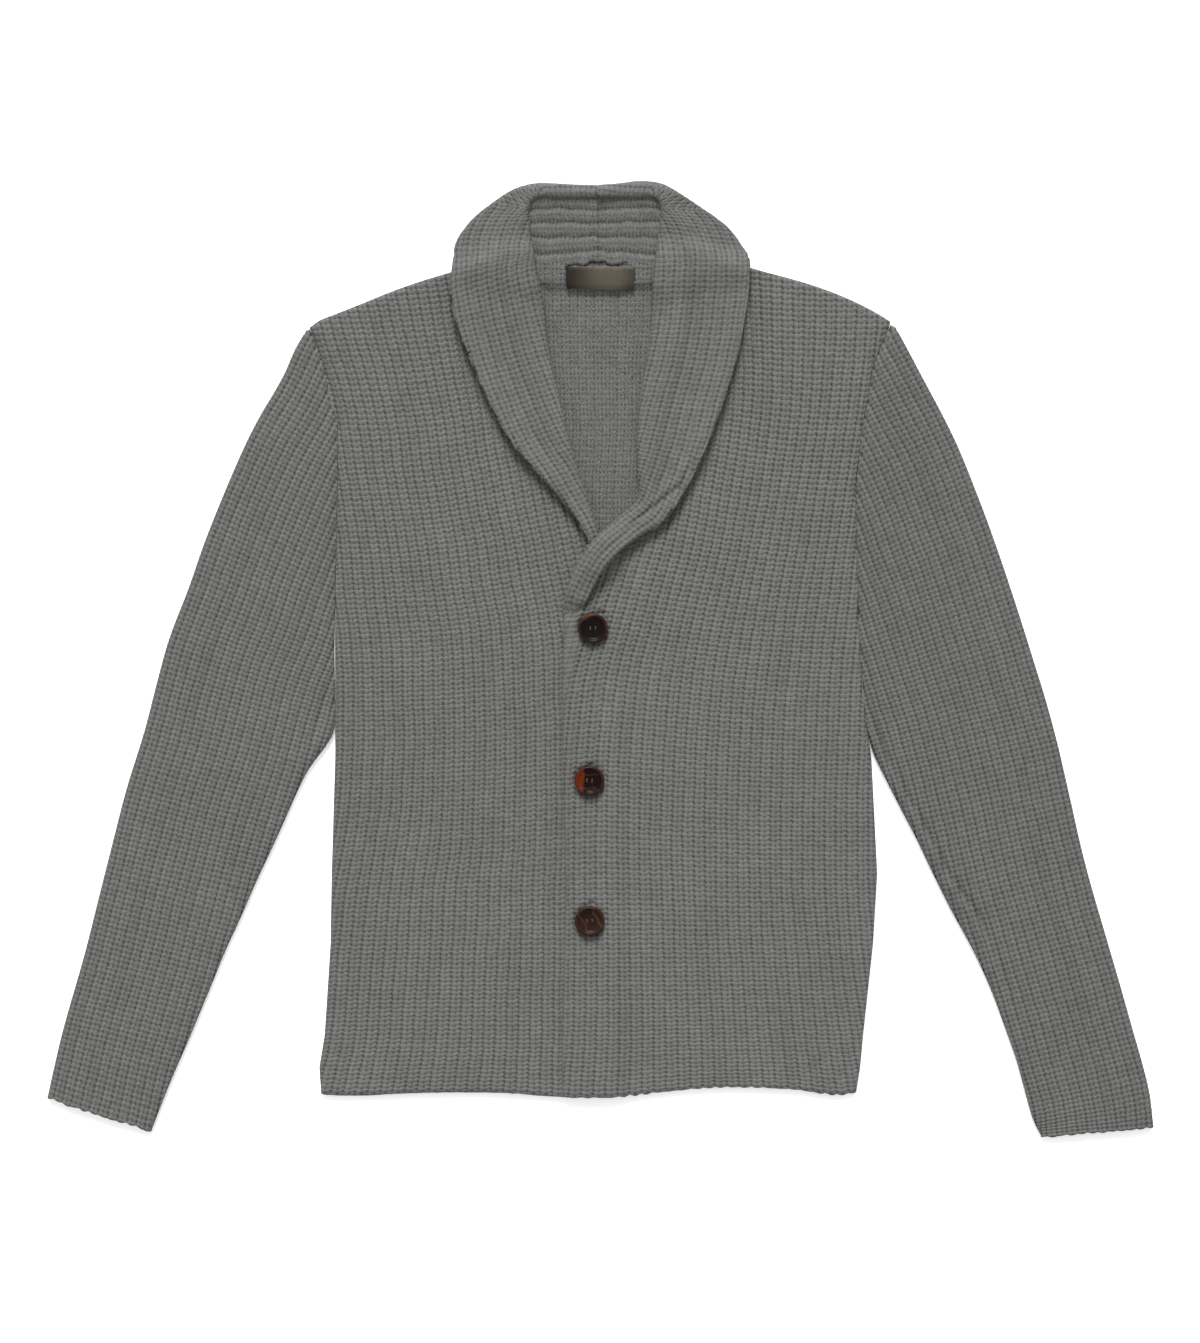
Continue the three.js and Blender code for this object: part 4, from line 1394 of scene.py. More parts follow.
    def fall_relief(self, base: KnitFace, bent: Array, share: Array) -> tuple[KnitFace, Array]:
        """Raises the stitches of the fall, flatter and less even where its courses crowd.

        Args:
            base: The smooth face under the stitches.
            bent: The share of the stitches' height that is left in the bends.
            share: The share of the wall that is left at the rounded edge.

        Returns:
            The outer face and the inner points.
        """
        normal, thin = base.normals(), WALL - 0.6 * MM
        inner = base.points - normal * thin
        inner[..., 2] = np.maximum(inner[..., 2], 0.1 * MM)
        x, y = base.plan
        steps = np.gradient(base.points[..., :2], axis=0).transpose(2, 0, 1)
        apart = np.hypot(*steps) * self.gauge.value[1]
        crowded = 1 - fade(apart, 2.4 * MM, 4.4 * MM)
        courses = base.courses + 0.5 * waver(x, y, 5 * MM, 71) * crowded
        relief = self.stitches.relief(base.wales, courses)
        relief = (relief * (0.35 + 0.65 * fade(apart, 2 * MM, 4.6 * MM)))[..., None]
        points = base.points + normal * relief * (0.3 + 0.7 * share) * bent[..., None]
        points = points - normal * (0.4, 0.4, 1) * thin * 0.75 * (1 - share)
        points[-1] -= 0.8 * MM * normal[-1]
        points[..., 2] = np.maximum(points[..., 2], 0.05 * MM)
        return KnitFace(points, base.wales, courses), inner

    def build(self, stand: tuple[KnitFace, Array], below: Pile, pile: Pile) -> Piece:
        """Builds the collar half and lays its fall on the pile.

        Args:
            stand: The stand's outer face and inner points.
            below: The cloth under the collar's stand.
            pile: The cloth that the fall lies on.

        Returns:
            The finished object.
        """
        per_wale, per_course = self.gauge.value
        fall = self.fall_face(below, pile)
        shell = Shell()
        for number, ((outer, inner), step) in enumerate(((fall, per_wale // 2), (stand, per_wale))):
            shell.finish = number
            rows, columns = outer.shape
            shell.add_cloth(outer, inner, kept(rows, per_course), kept(columns, step))
        piece = self.finish(shell, self.stand_knit)
        self.top = fall[0].points[self.top_mask][:, None, :]
        pile.lay(self.top)
        return piece


# --- finishes


@dataclass
class Weaver:
    """A short way to lay shader nodes in one node tree."""

    tree: bpy.types.NodeTree

    def node(self, kind: str, **settings: object) -> bpy.types.Node:
        """Adds a node and sets its settings."""
        node = self.tree.nodes.new("ShaderNode" + kind)
        for name, value in settings.items():
            setattr(node, name, value)
        return node

    def join(self, value: object, socket: Socket) -> None:
        """Links an output to an input, or sets a plain number or colour on it."""
        if isinstance(value, Socket):
            self.tree.links.new(value, socket)
        else:
            socket.default_value = value

    def feed(self, node: bpy.types.Node, values: dict[object, object]) -> bpy.types.NodeOutputs:
        """Joins values to a node's inputs, by name or number, and returns its outputs."""
        for key, value in values.items():
            self.join(value, node.inputs[key])
        return node.outputs

    def sum(self, operation: str, *values: object) -> Socket:
        """Adds a Math node and returns its output."""
        node = self.node("Math", operation=operation)
        return self.feed(node, dict(enumerate(values)))[0]

    def times(self, value: object, factor: object) -> Socket:
        """Multiplies two values."""
        return self.sum("MULTIPLY", value, factor)

    def line(self, value: object, slope: object, start: object) -> Socket:
        """Multiplies two values and adds a third."""
        return self.sum("MULTIPLY_ADD", value, slope, start)

    def parts(self, vector: object) -> bpy.types.NodeOutputs:
        """Splits a vector into its X, Y and Z."""
        return self.feed(self.node("SeparateXYZ"), {0: vector})

    def spread(
        self, value: object, low: object, high: float, to_low: float = 0.0, to_high: float = 1.0
    ) -> Socket:
        """Maps a value softly from one range to another."""
        node = self.node("MapRange", interpolation_type="SMOOTHSTEP")
        values = {"Value": value, "From Min": low, "From Max": high}
        return self.feed(node, {**values, "To Min": to_low, "To Max": to_high})[0]

    def noise(self, vector: object, scale: float, detail: float = 2.0) -> Socket:
        """Adds a noise centred on 0, about between -1 and 1."""
        node = self.node("TexNoise", noise_dimensions="3D")
        values = {"Vector": vector, "Scale": scale, "Detail": detail, "Roughness": 0.6}
        return self.line(self.feed(node, values)["Fac"], 4.0, -2.0)

    def bands(self, vector: object, along: str, scale: float, **more: float) -> object:
        """Adds a wave in bands across an axis and returns its height."""
        node = self.node("TexWave", wave_type="BANDS", bands_direction=along)
        more = {name.replace("_", " "): value for name, value in more.items()}
        return self.feed(node, {"Vector": vector, "Scale": scale, **more})["Fac"]

    def mix(self, share: object, colour: object, other: object) -> Socket:
        """Mixes a colour with another by a share."""
        node = self.node("Mix", data_type="RGBA")
        return self.feed(node, {"Factor": share, 6: colour, 7: other})[2]

    def bump(self, height: object, strength: float, distance: float) -> Socket:
        """Adds a bump and returns its normal."""
        values = {"Strength": strength, "Distance": distance, "Height": height}
        return self.feed(self.node("Bump"), values)[0]


def new_material(name: str) -> tuple[bpy.types.Material, Weaver, bpy.types.Node]:
    """Makes a material and returns it with a weaver on it and its shader."""
    material = bpy.data.materials.new(name)
    material.use_nodes = True
    tree = material.node_tree
    return material, Weaver(tree), tree.nodes["Principled BSDF"]


def new_group(
    name: str, inputs: dict[str, float], outputs: Sequence[str]
) -> tuple[Weaver, bpy.types.NodeOutputs, bpy.types.NodeInputs]:
    """Makes a shader node group that reads where a stitch is in the knit and in the cloth.

    Args:
        name: The group's name.
        inputs: Its number inputs and their usual values.
        outputs: Its number outputs.

    Returns:
        A weaver on the group, what comes into it and what goes out of it.
    """
    group = bpy.data.node_groups.new(name, "ShaderNodeTree")
    for key in ("Stitch", "Place"):
        group.interface.new_socket(key, in_out="INPUT", socket_type="NodeSocketVector")
    for key, value in inputs.items():
        socket = group.interface.new_socket(key, in_out="INPUT", socket_type="NodeSocketFloat")
        socket.default_value = value
    for key in outputs:
        group.interface.new_socket(key, in_out="OUTPUT", socket_type="NodeSocketFloat")
    entry, leave = group.nodes.new("NodeGroupInput"), group.nodes.new("NodeGroupOutput")
    return Weaver(group), entry.outputs, leave.inputs


def rib_group() -> bpy.types.NodeTree:
    """The half-cardigan stitch: gutters between wales and slanted legs of yarn on them."""
    name = "half cardigan stitch"
    if name in bpy.data.node_groups:
        return bpy.data.node_groups[name]
    outputs = ("Gutter", "Gap", "Dash", "Leg", "Pip", "Height")
    inputs = {"Slant": 0.2, "Gutter": 0.3, "Zigzag": 0.0, "Jitter": 0.22, "Twist": 0.0}
    weave, entry, leave = new_group(name, inputs, outputs)
    u, v, _ = weave.parts(entry["Stitch"])
    wander = weave.noise(entry["Place"], 260.0, 1.0)
    drift = weave.noise(entry["Place"], 90.0, 1.0)
    sway = weave.sum("SINE", weave.times(v, 2 * math.pi))
    u = weave.line(drift, 0.05, weave.line(sway, entry["Zigzag"], u))
    centred = weave.line(weave.sum("FRACT", u), 2.0, -1.0)
    across = weave.sum("ABSOLUTE", centred)
    gutter = weave.spread(across, weave.sum("SUBTRACT", 1.0, entry["Gutter"]), 1.0)
    leg = weave.spread(across, 0.34, 0.0)
    twisted = weave.line(centred, entry["Twist"], weave.times(across, entry["Slant"]))
    phase = weave.sum("SUBTRACT", v, twisted)
    phase = weave.sum("ADD", phase, weave.times(wander, entry["Jitter"]))
    wave = weave.sum("COSINE", weave.times(phase, 2 * math.pi))
    gap = weave.spread(wave, -0.1, -1.0)
    dash = weave.times(weave.spread(wave, 0.35, -0.8), gutter)
    crown = weave.sum("SQRT", weave.sum("SUBTRACT", 1.0, weave.times(across, across)))
    height = weave.line(wave, 0.28, crown)
    for dip, depth in ((dash, 0.5), (leg, 0.3)):
        height = weave.sum("SUBTRACT", height, weave.times(dip, depth))
    # the masks of the stitch's hollows shape the bump height here, and each knit finish paints
    # shade into them
    for key, value in zip(outputs, (gutter, gap, dash, leg, weave.times(leg, gap), height)):
        weave.join(value, leave[key])
    return weave.tree


def yarn_group() -> bpy.types.NodeTree:
    """Woolly yarn: fibres, lighter and darker wales and soft large patches."""
    name = "woolly yarn"
    if name in bpy.data.node_groups:
        return bpy.data.node_groups[name]
    weave, entry, leave = new_group(name, {"Fibre": 1.0, "Patch": 1.0}, ("Shade", "Fuzz"))
    u, v, _ = weave.parts(entry["Stitch"])
    wale, course = weave.sum("FLOOR", u), weave.sum("FLOOR", v)
    stitch = weave.feed(weave.node("CombineXYZ"), {0: wale, 1: course})[0]
    by_stitch = weave.node("TexWhiteNoise", noise_dimensions="2D")
    by_wale = weave.node("TexWhiteNoise", noise_dimensions="1D")
    stitch_shade = weave.line(weave.feed(by_stitch, {"Vector": stitch})["Value"], 2.0, -1.0)
    wale_shade = weave.line(weave.feed(by_wale, {"W": wale})["Value"], 2.0, -1.0)
    place = entry["Place"]
    fine, coarse = weave.noise(place, 1900.0), weave.noise(place, 620.0)
    patch, small = weave.noise(place, 16.0), weave.noise(place, 70.0, 1.0)
    fibre = weave.line(coarse, 0.6, weave.times(fine, 0.5))
    shade = weave.times(fibre, weave.times(entry["Fibre"], 0.26))
    soft = weave.line(patch, 0.05, weave.times(small, 0.035))
    soft = weave.line(stitch_shade, 0.05, weave.line(wale_shade, 0.025, soft))
    shade = weave.line(soft, entry["Patch"], shade)
    weave.join(weave.sum("ADD", shade, 1.0), leave["Shade"])
    weave.join(fibre, leave["Fuzz"])
    return weave.tree


@dataclass(frozen=True)
class KnitFinish:
    """Grey wool in half-cardigan rib, with painted shade in the hollows of its stitches. Each piece
    has its own values of it.
    """

    name: str
    tone: Colour = (0.1135, 0.1138, 0.1102)
    # how wide a gutter is, and how much painted shade darkens each hollow of a stitch
    gutter: float = 0.34
    painted_gutter_shade: float = 0.17
    painted_gap_shade: float = 0.19
    painted_dash_shade: float = 0.52
    painted_leg_shade: float = 0.18
    painted_pip_shade: float = 0.36
    # how far the legs of a stitch slant, lean to one side and swing
    slant: float = 0.2
    twist: float = 0.0
    zigzag: float = 0.0
    fibre: float = 1.0
    bump: float = 0.55
    # painted light: how much lighter the cloth is painted at the chest than at the hem, to offset
    # the shade of its deeper stitches there
    painted_chest_light: float = 0.0

    def build(self) -> bpy.types.Material:
        """Makes the material."""
        material, weave, shader = new_material(self.name)
        place = weave.node("TexCoord").outputs["Object"]
        spot = {"Stitch": weave.node("UVMap", uv_map="stitches").outputs[0], "Place": place}
        rib = weave.feed(weave.node("Group", node_tree=rib_group()), {
            **spot, "Slant": self.slant, "Gutter": self.gutter, "Zigzag": self.zigzag,
            "Twist": self.twist,
        })
        yarn = weave.node("Group", node_tree=yarn_group())
        yarn = weave.feed(yarn, {**spot, "Fibre": self.fibre})
        shade = yarn["Shade"]
        # painted shade: the yarn's colour is darkened in the gutters, in the gaps between courses,
        # in the holes, in the grooves between the legs and where those grooves meet the gaps
        for part, dark in (
            ("Gutter", self.painted_gutter_shade), ("Gap", self.painted_gap_shade), ("Dash", self.painted_dash_shade),
            ("Leg", self.painted_leg_shade), ("Pip", self.painted_pip_shade),
        ):
            shade = weave.times(shade, weave.line(rib[part], -dark, 1.0))
        # painted light: the cloth is painted lighter upwards, from Y = -0.1 m to Y = 0.15 m
        if self.painted_chest_light:
            high = weave.spread(weave.parts(place)[1], -0.1, 0.15)
            shade = weave.times(shade, weave.line(high, self.painted_chest_light, 1.0))
        scaled = weave.node("VectorMath", operation="SCALE")
        height = weave.line(yarn["Fuzz"], 0.16, rib["Height"])
        weave.feed(shader, {
            "Base Color": weave.feed(scaled, {0: self.tone, "Scale": shade})[0],
            "Normal": weave.bump(height, self.bump, 0.7 * MM),
            "Roughness": 0.95, "Specular IOR Level": 0.05,
            "Sheen Weight": 0.05, "Sheen Roughness": 0.5,
        })
        return material


@dataclass(frozen=True)
class HornFinish:
    """Polished horn: a dark ground with warm, lighter sweeps through it."""

    name: str
    dark: Colour
    warm: Colour
    rim: Colour = (0.034, 0.012, 0.0075)
    light: Colour = (0.16, 0.085, 0.055)
    # centre of the button, the way the warm part lies from it, and where it starts, in mm
    centre: tuple[float, float] = (0.0, 0.0)
    way: float = 180.0
    start: float = 0.0
    # how softly the warm part starts, and how strong the light streaks are
    spread: float = 2.6 * MM
    streak: float = 0.4
    # how far the button cut from it is turned
    turn: float = 0.0
    radius: float = 12.7 * MM

    def build(self) -> bpy.types.Material:
        """Makes the material."""
        material, weave, shader = new_material(self.name)
        place = weave.node("TexCoord").outputs["Object"]
        centred = weave.feed(weave.node("Mapping", vector_type="TEXTURE"), {
            "Vector": place, "Location": (self.centre[0] * MM, self.centre[1] * MM, 0.0),
            "Rotation": (0.0, 0.0, math.radians(self.way)),
        })[0]
        x, y, _ = weave.parts(centred)
        cloud, grain = weave.noise(place, 150.0, 3.0), weave.noise(place, 900.0)
        out = weave.sum("SQRT", weave.line(y, y, weave.times(x, x)))
        out = weave.sum("DIVIDE", out, self.radius)
        warm = weave.line(cloud, 1.2 * MM, x)
        warm = weave.spread(warm, self.start * MM, self.start * MM + self.spread)
        ring = weave.spread(weave.line(cloud, 0.03, out), 0.78, 0.9)
        ring = weave.times(ring, weave.line(cloud, 0.35, 0.7))
        ray = weave.bands(centred, "Y", 24.0, Distortion=7.0, Detail=2.0, Detail_Scale=1.4)
        ray = weave.times(weave.spread(ray, 0.93, 1.0), self.streak)
        colour: object = (*self.dark, 1.0)
        for share, other in ((warm, self.warm), (ring, self.rim), (ray, self.light)):
            colour = weave.mix(share, colour, (*other, 1.0))
        rough = weave.line(grain, 0.03, 0.3)
        weave.feed(shader, {"Base Color": colour, "Roughness": rough, "Specular IOR Level": 0.08})
        return material


@dataclass(frozen=True)
class SatinFinish:
    """Bronze satin ribbon with a painted sheen along its length, over fine woven threads."""

    name: str = "satin ribbon"
    # the ribbon's colour where no painted sheen lies, and the colour of the painted sheen at its
    # brightest
    dark: Colour = (0.006, 0.005, 0.0035)
    light: Colour = (0.062, 0.052, 0.037)
    left: float = -31 * MM
    right: float = 28.5 * MM

    def build(self) -> bpy.types.Material:
        """Makes the material."""
        material, weave, shader = new_material(self.name)
        place = weave.node("TexCoord").outputs["Object"]
        x = weave.line(weave.noise(place, 70.0), 1.6 * MM, weave.parts(place)[0])
        # painted sheen: dark at the ribbon's left end, brightest a little right of its middle, and
        # dimmer again at its right end
        rise = weave.spread(x, self.left + 1 * MM, self.left + 34 * MM, 0.06, 1.0)
        fall = weave.spread(x, self.right - 16 * MM, self.right, 1.0, 0.45)
        thread = weave.line(weave.bands(place, "X", 620.0), 0.12, 0.9)
        thread = weave.line(weave.bands(place, "Y", 420.0), 0.08, thread)
        painted_sheen = weave.times(weave.times(rise, fall), thread)
        weave.feed(shader, {
            "Base Color": weave.mix(painted_sheen, (*self.dark, 1.0), (*self.light, 1.0)),
            "Normal": weave.bump(thread, 0.25, 0.1 * MM),
            "Roughness": 0.5, "Specular IOR Level": 0.15,
        })
        return material


# --- label and buttons


def select_none() -> None:
    """Leaves nothing selected, so that an operator acts on its own primitive only."""
    if bpy.context.object and bpy.context.object.mode != "OBJECT":
        bpy.ops.object.mode_set(mode="OBJECT")
    bpy.ops.object.select_all(action="DESELECT")


def select_only(*pieces: Piece) -> None:
    """Selects some pieces alone, with the first one active."""
    select_none()
    for piece in pieces:
        piece.select_set(True)
    bpy.context.view_layer.objects.active = pieces[0]


def link_mesh(name: str, *data: Sequence[object]) -> Piece:
    """Makes an object of some points, edges and faces, and links it to the scene."""
    mesh = bpy.data.meshes.new(name)
    mesh.from_pydata(*data)
    piece = bpy.data.objects.new(name, mesh)
    bpy.context.scene.collection.objects.link(piece)
    return piece


def apply_modifiers(piece: Piece) -> None:
    """Applies every modifier of a piece, in order."""
    select_only(piece)
    for modifier in list(piece.modifiers):
        bpy.ops.object.modifier_apply(modifier=modifier.name)


def add_bevel(piece: Piece, name: str, width: float) -> bpy.types.Modifier:
    """Adds a small bevel along a piece's sharp edges."""
    bevel = piece.modifiers.new(name, "BEVEL")
    bevel.width = width
    bevel.segments = 2
    bevel.limit_method = "ANGLE"
    return bevel


@dataclass
class NeckLabel:
    """The bare satin label at the back of the neck, sewn on along its upper edge."""

    finish: SatinFinish = SatinFinish()
    # corners: upper left, upper right, lower right, lower left
    corners: Rows = ((-31, 334), (28, 332.6), (27.4, 313.6), (-29.4, 315.2))
    thickness: float = 0.5 * MM
    columns: int = 72
    rows: int = 26

    def point(self, s: float, t: float, pile: Pile) -> Vector:
        """Where a point of the ribbon lies.

        Args:
            s: Its share of the width, from the left.
            t: Its share of the height, from the sewn edge down.
            pile: The cloth that the label lies on.

        Returns:
            The point, on a ribbon that puckers at its seam and bellies below it.
        """
        corners = table(self.corners)
        upper = corners[0] * (1 - s) + corners[1] * s
        lower = corners[3] * (1 - s) + corners[2] * s
        x, y = upper * (1 - t) + lower * t
        edge = math.sin(math.pi * min(max(s, 0), 1))
        y += 0.35 * MM * math.sin(31 * s + 1.0) * (1 - t) + 0.4 * MM * math.sin(9 * s) * t
        x += 0.4 * MM * math.sin(7 * t) * (1 - edge)
        pucker = 0.35 * MM * (0.5 + 0.5 * math.sin(2 * math.pi * 11 * s))
        lift = pucker * math.exp(-((t / 0.16) ** 2)) - 0.25 * MM * math.exp(-((t / 0.07) ** 2))
        belly = 0.7 * MM * math.sin(math.pi * min(t * 1.15, 1)) * (0.4 + 0.6 * edge)
        wave = 0.18 * MM * math.sin(17 * s + 2.5 * t) * t
        seat = float(pile.seat(np.array([x]), np.array([y]))[0]) + 0.45 * MM
        return Vector((x, y, seat + lift + belly * 0.6 + wave))

    def build(self, pile: Pile) -> Piece:
        """Builds the label on the back's inner face.

        Args:
            pile: The cloth that the label lies on.

        Returns:
            The finished label.
        """
        select_none()
        bpy.ops.mesh.primitive_grid_add(
            x_subdivisions=self.columns, y_subdivisions=self.rows, size=2, location=(0, 0, 0)
        )
        label = bpy.context.object
        label.name = label.data.name = "satin_neck_label"
        for vertex in label.data.vertices:
            vertex.co = self.point(0.5 + 0.5 * vertex.co.x, 0.5 - 0.5 * vertex.co.y, pile)
        solid = label.modifiers.new("ribbon", "SOLIDIFY")
        solid.thickness = self.thickness
        solid.offset = 1.0
        solid.use_even_offset = True
        add_bevel(label, "folded edge", 0.2 * MM)
        apply_modifiers(label)
        bpy.ops.object.shade_smooth()
        label.data.materials.append(self.finish.build())
        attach(label, "root")
        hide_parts("neck_label")
        LOG.info("%s: %d faces", label.name, len(label.data.polygons))
        return label


@dataclass
class HornButton:
    """A button with a raised rim, a dished centre and four holes sewn through with yarn."""

    name: str
    node: str
    finish: HornFinish
    thread: bpy.types.Material
    diameter: float = 25.4 * MM
    thickness: float = 4.6 * MM
    hole_spacing: float = 4.4 * MM
    hole_diameter: float = 2.0 * MM
    # the half section from the middle out and back: share of the radius, and of the thickness
    section: Rows = (
        (0, 0), (0.62, 0), (0.88, 0.16), (0.975, 0.36), (1, 0.56), (0.985, 0.76),
        (0.945, 0.92), (0.885, 1), (0.825, 0.985), (0.775, 0.9), (0.74, 0.8),
        (0.7, 0.72), (0.62, 0.665), (0.48, 0.62), (0.28, 0.6), (0, 0.59),
    )
    # a strand of the sewing: steps along it and round it, its radius, and how far it dips
    strand_steps: int = 18
    strand_sides: int = 10
    strand_radius: float = 0.42 * MM
    strand_dip: float = 0.8 * MM

    def body(self, centre: Vector) -> Piece:
        """Turns the button's body from its half section.

        Args:
            centre: The middle of its underside.

        Returns:
            The body, without its holes.
        """
        radius, high = self.diameter / 2, self.thickness
        points = [
            (centre.x + r * radius, centre.y, centre.z + z * high) for r, z in self.section
        ]
        edges = [(i, i + 1) for i in range(len(points) - 1)]
        button = link_mesh(self.name, points, edges, [])
        select_only(button)
        bpy.ops.object.mode_set(mode="EDIT")
        bpy.ops.mesh.select_all(action="SELECT")
        bpy.ops.mesh.spin(
            steps=72, angle=2 * math.pi, center=centre, axis=(0, 0, 1), dupli=False
        )
        bpy.ops.mesh.select_all(action="SELECT")
        bpy.ops.mesh.remove_doubles(threshold=0.01 * MM)
        bpy.ops.mesh.normals_make_consistent(inside=False)
        bpy.ops.object.mode_set(mode="OBJECT")
        return button

    def holes(self, centre: Vector) -> list[Vector]:
        """The four holes' centres."""
        angles = [math.radians(self.finish.turn + 45 + 90 * i) for i in range(4)]
        reach = self.hole_spacing / math.sqrt(2)
        return [centre + Vector((math.cos(a), math.sin(a), 0)) * reach for a in angles]

    def drill(self, button: Piece, centre: Vector) -> None:
        """Drills the four holes and softens their rims."""
        for hole in self.holes(centre):
            select_none()
            bpy.ops.mesh.primitive_cylinder_add(
                vertices=24,
                radius=self.hole_diameter / 2,
                depth=3 * self.thickness,
                location=hole + Vector((0, 0, self.thickness / 2)),
            )
            drill = bpy.context.object
            bpy.ops.object.transform_apply(location=True, rotation=True, scale=True)
            cut = button.modifiers.new("hole", "BOOLEAN")
            cut.operation = "DIFFERENCE"
            cut.solver = "EXACT"
            cut.object = drill
            apply_modifiers(button)
            bpy.data.objects.remove(drill, do_unlink=True)
        add_bevel(button, "soft rims", 0.16 * MM).angle_limit = math.radians(50)
        apply_modifiers(button)
        bpy.ops.object.shade_smooth_by_angle(angle=math.radians(40))

    def strand(self, start: Vector, end: Vector, top: float) -> Piece:
        """Makes a strand of yarn that bows from one hole to another and dips into both.

        Args:
            start: The centre of one hole.
            end: The centre of the other.
            top: The height of the strand's middle.

        Returns:
            The strand, closed at both ends.
        """
        steps, sides = self.strand_steps, self.strand_sides
        way = end - start
        flat = way.normalized()
        side = Vector((-flat.y, flat.x, 0))
        points = []
        for i in range(steps + 1):
            at = start + way * (i / steps)
            drop = max(0.0, 2.5 - min(i, steps - i)) * self.strand_dip
            at.z = top + 0.3 * MM * math.sin(math.pi * i / steps) - drop
            for j in range(sides):
                around = 2 * math.pi * j / sides
                offset = side * math.cos(around) + Vector((0, 0, math.sin(around)))
                points.append(at + offset * self.strand_radius)
        faces = [
            tuple(i * sides + k for k in (j, (j + 1) % sides, (j + 1) % sides + sides, j + sides))
            for i in range(steps)
            for j in range(sides)
        ]
        faces.append(tuple(range(sides - 1, -1, -1)))
        faces.append(tuple(range(steps * sides, (steps + 1) * sides)))
        return link_mesh(self.name + "_sewing", points, [], faces)

    def sewing(self, centre: Vector) -> Piece:
        """Sews the button on with two parallel strands of dark yarn.

        Args:
            centre: The middle of the button's underside.

        Returns:
            Both strands as one object.
        """
        holes = self.holes(centre)
        top = centre.z + 0.62 * self.thickness
        pairs = ((holes[0], holes[3]), (holes[1], holes[2]))
        strands = [self.strand(start, end, top) for start, end in pairs]
        select_only(*strands)
        bpy.ops.object.join()
        yarn = bpy.context.object
        bpy.ops.object.mode_set(mode="EDIT")
        bpy.ops.mesh.select_all(action="SELECT")
        bpy.ops.mesh.normals_make_consistent(inside=False)
        bpy.ops.object.mode_set(mode="OBJECT")
        bpy.ops.object.shade_smooth()
        return yarn

    def build(self) -> list[Piece]:
        """Builds the button and its sewing where its node is.

        Returns:
            The button and its sewing.
        """
        low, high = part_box(self.node)
        middle = (Vector(low) + Vector(high)) / 2
        centre = Vector((middle.x, middle.y, low[2]))
        button = self.body(centre)
        self.drill(button, centre)
        yarn = self.sewing(centre)
        for piece, material in ((button, self.finish.build()), (yarn, self.thread)):
            piece.data.materials.clear()
            piece.data.materials.append(material)
        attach(button, "root")
        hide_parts(self.node)
        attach(yarn, "root")
        LOG.info("%s: %d faces", self.name, len(button.data.polygons))
        return [button, yarn]


# --- studio


@dataclass
class Studio:
    """The pale floor, the soft light from beyond the collar and the camera straight above."""

    centre: tuple[float, float] = (-1.3 * MM, -9.4 * MM)
    # how much of the floor the camera sees from its top to its bottom
    frame_height: float = 1141.55 * MM
    camera_height: float = 3.2
    floor_tone: float = 0.96
    # how brightly the floor is lit from below, as on a light table
    floor_glow: float = 0.3
    world_strength: float = 0.8
    # the soft light: where it comes from, how strong it is, and how many degrees wide
    key_place: tuple[float, float, float] = (-0.2, 2.2, 1.8)
    key_strength: float = 4.6
    key_softness: float = 24.0

    def floor(self) -> None:
        """Lays the plain floor under the blazer."""
        select_none()
        bpy.ops.mesh.primitive_grid_add(
            x_subdivisions=4, y_subdivisions=4, size=12, location=(0, 0, -0.4 * MM)
        )
        floor = bpy.context.object
        bpy.ops.object.transform_apply(location=True, rotation=True, scale=True)
        floor.name = "studio_floor"
        material, weave, shader = new_material("plain pale floor")
        weave.feed(shader, {
            "Base Color": (*[self.floor_tone] * 3, 1), "Roughness": 1.0,
            "Specular IOR Level": 0.0, "Emission Color": (1, 1, 1, 1),
            "Emission Strength": self.floor_glow,
        })
        floor.data.materials.append(material)

    def lights(self) -> None:
        """Sets up the bright room and one large soft light beyond the collar."""
        scene = bpy.context.scene
        world = bpy.data.worlds.new("bright room")
        scene.world = world
        world.use_nodes = True
        ground = world.node_tree.nodes["Background"]
        ground.inputs["Color"].default_value = (1, 1, 1, 1)
        ground.inputs["Strength"].default_value = self.world_strength
        lamp = bpy.data.lights.new("soft key", "SUN")
        lamp.energy = self.key_strength
        lamp.angle = math.radians(self.key_softness)
        holder = bpy.data.objects.new("soft key", lamp)
        place = Vector(self.key_place)
        holder.location = place
        holder.rotation_euler = (-place).to_track_quat("-Z", "Y").to_euler()
        scene.collection.objects.link(holder)

    def camera(self) -> None:
        """Sets the camera straight above the blazer."""
        scene = bpy.context.scene
        data = bpy.data.cameras.new("camera")
        data.sensor_fit = "AUTO"
        data.sensor_width = 36.0
        data.lens = 36.0 * self.camera_height / self.frame_height
        data.clip_end = 50.0
        holder = bpy.data.objects.new("camera", data)
        holder.location = (*self.centre, self.camera_height)
        holder.rotation_euler = (0, 0, 0)
        scene.collection.objects.link(holder)
        scene.camera = holder

    def build(self) -> None:
        """Sets up the whole studio."""
        self.floor()
        self.lights()
        self.camera()
        settings = bpy.context.scene.view_settings
        settings.view_transform = "Standard"
        settings.look = "None"
        settings.exposure = 0.0
        settings.gamma = 1.0
        LOG.info("studio: floor, lights and camera")


# --- the pieces of this blazer


def crease(points: Rows, depth: float, width: float, roll: float = 0.0) -> Crease:
    """A crease through a few points, with everything but its roll in millimetres."""
    return Crease(table(points), depth * MM, width * MM, roll)


def moat(x: float, y: float) -> Crease:
    """The hollow that a button pulls into the cloth at its rim, open on one side."""
    radius = 12.4
    angles = np.radians(np.arange(80, 451, 20))
    ring = [(x + radius * math.cos(a), y + radius * math.sin(a)) for a in angles]
    return crease(ring, depth=2.8, width=1.8)


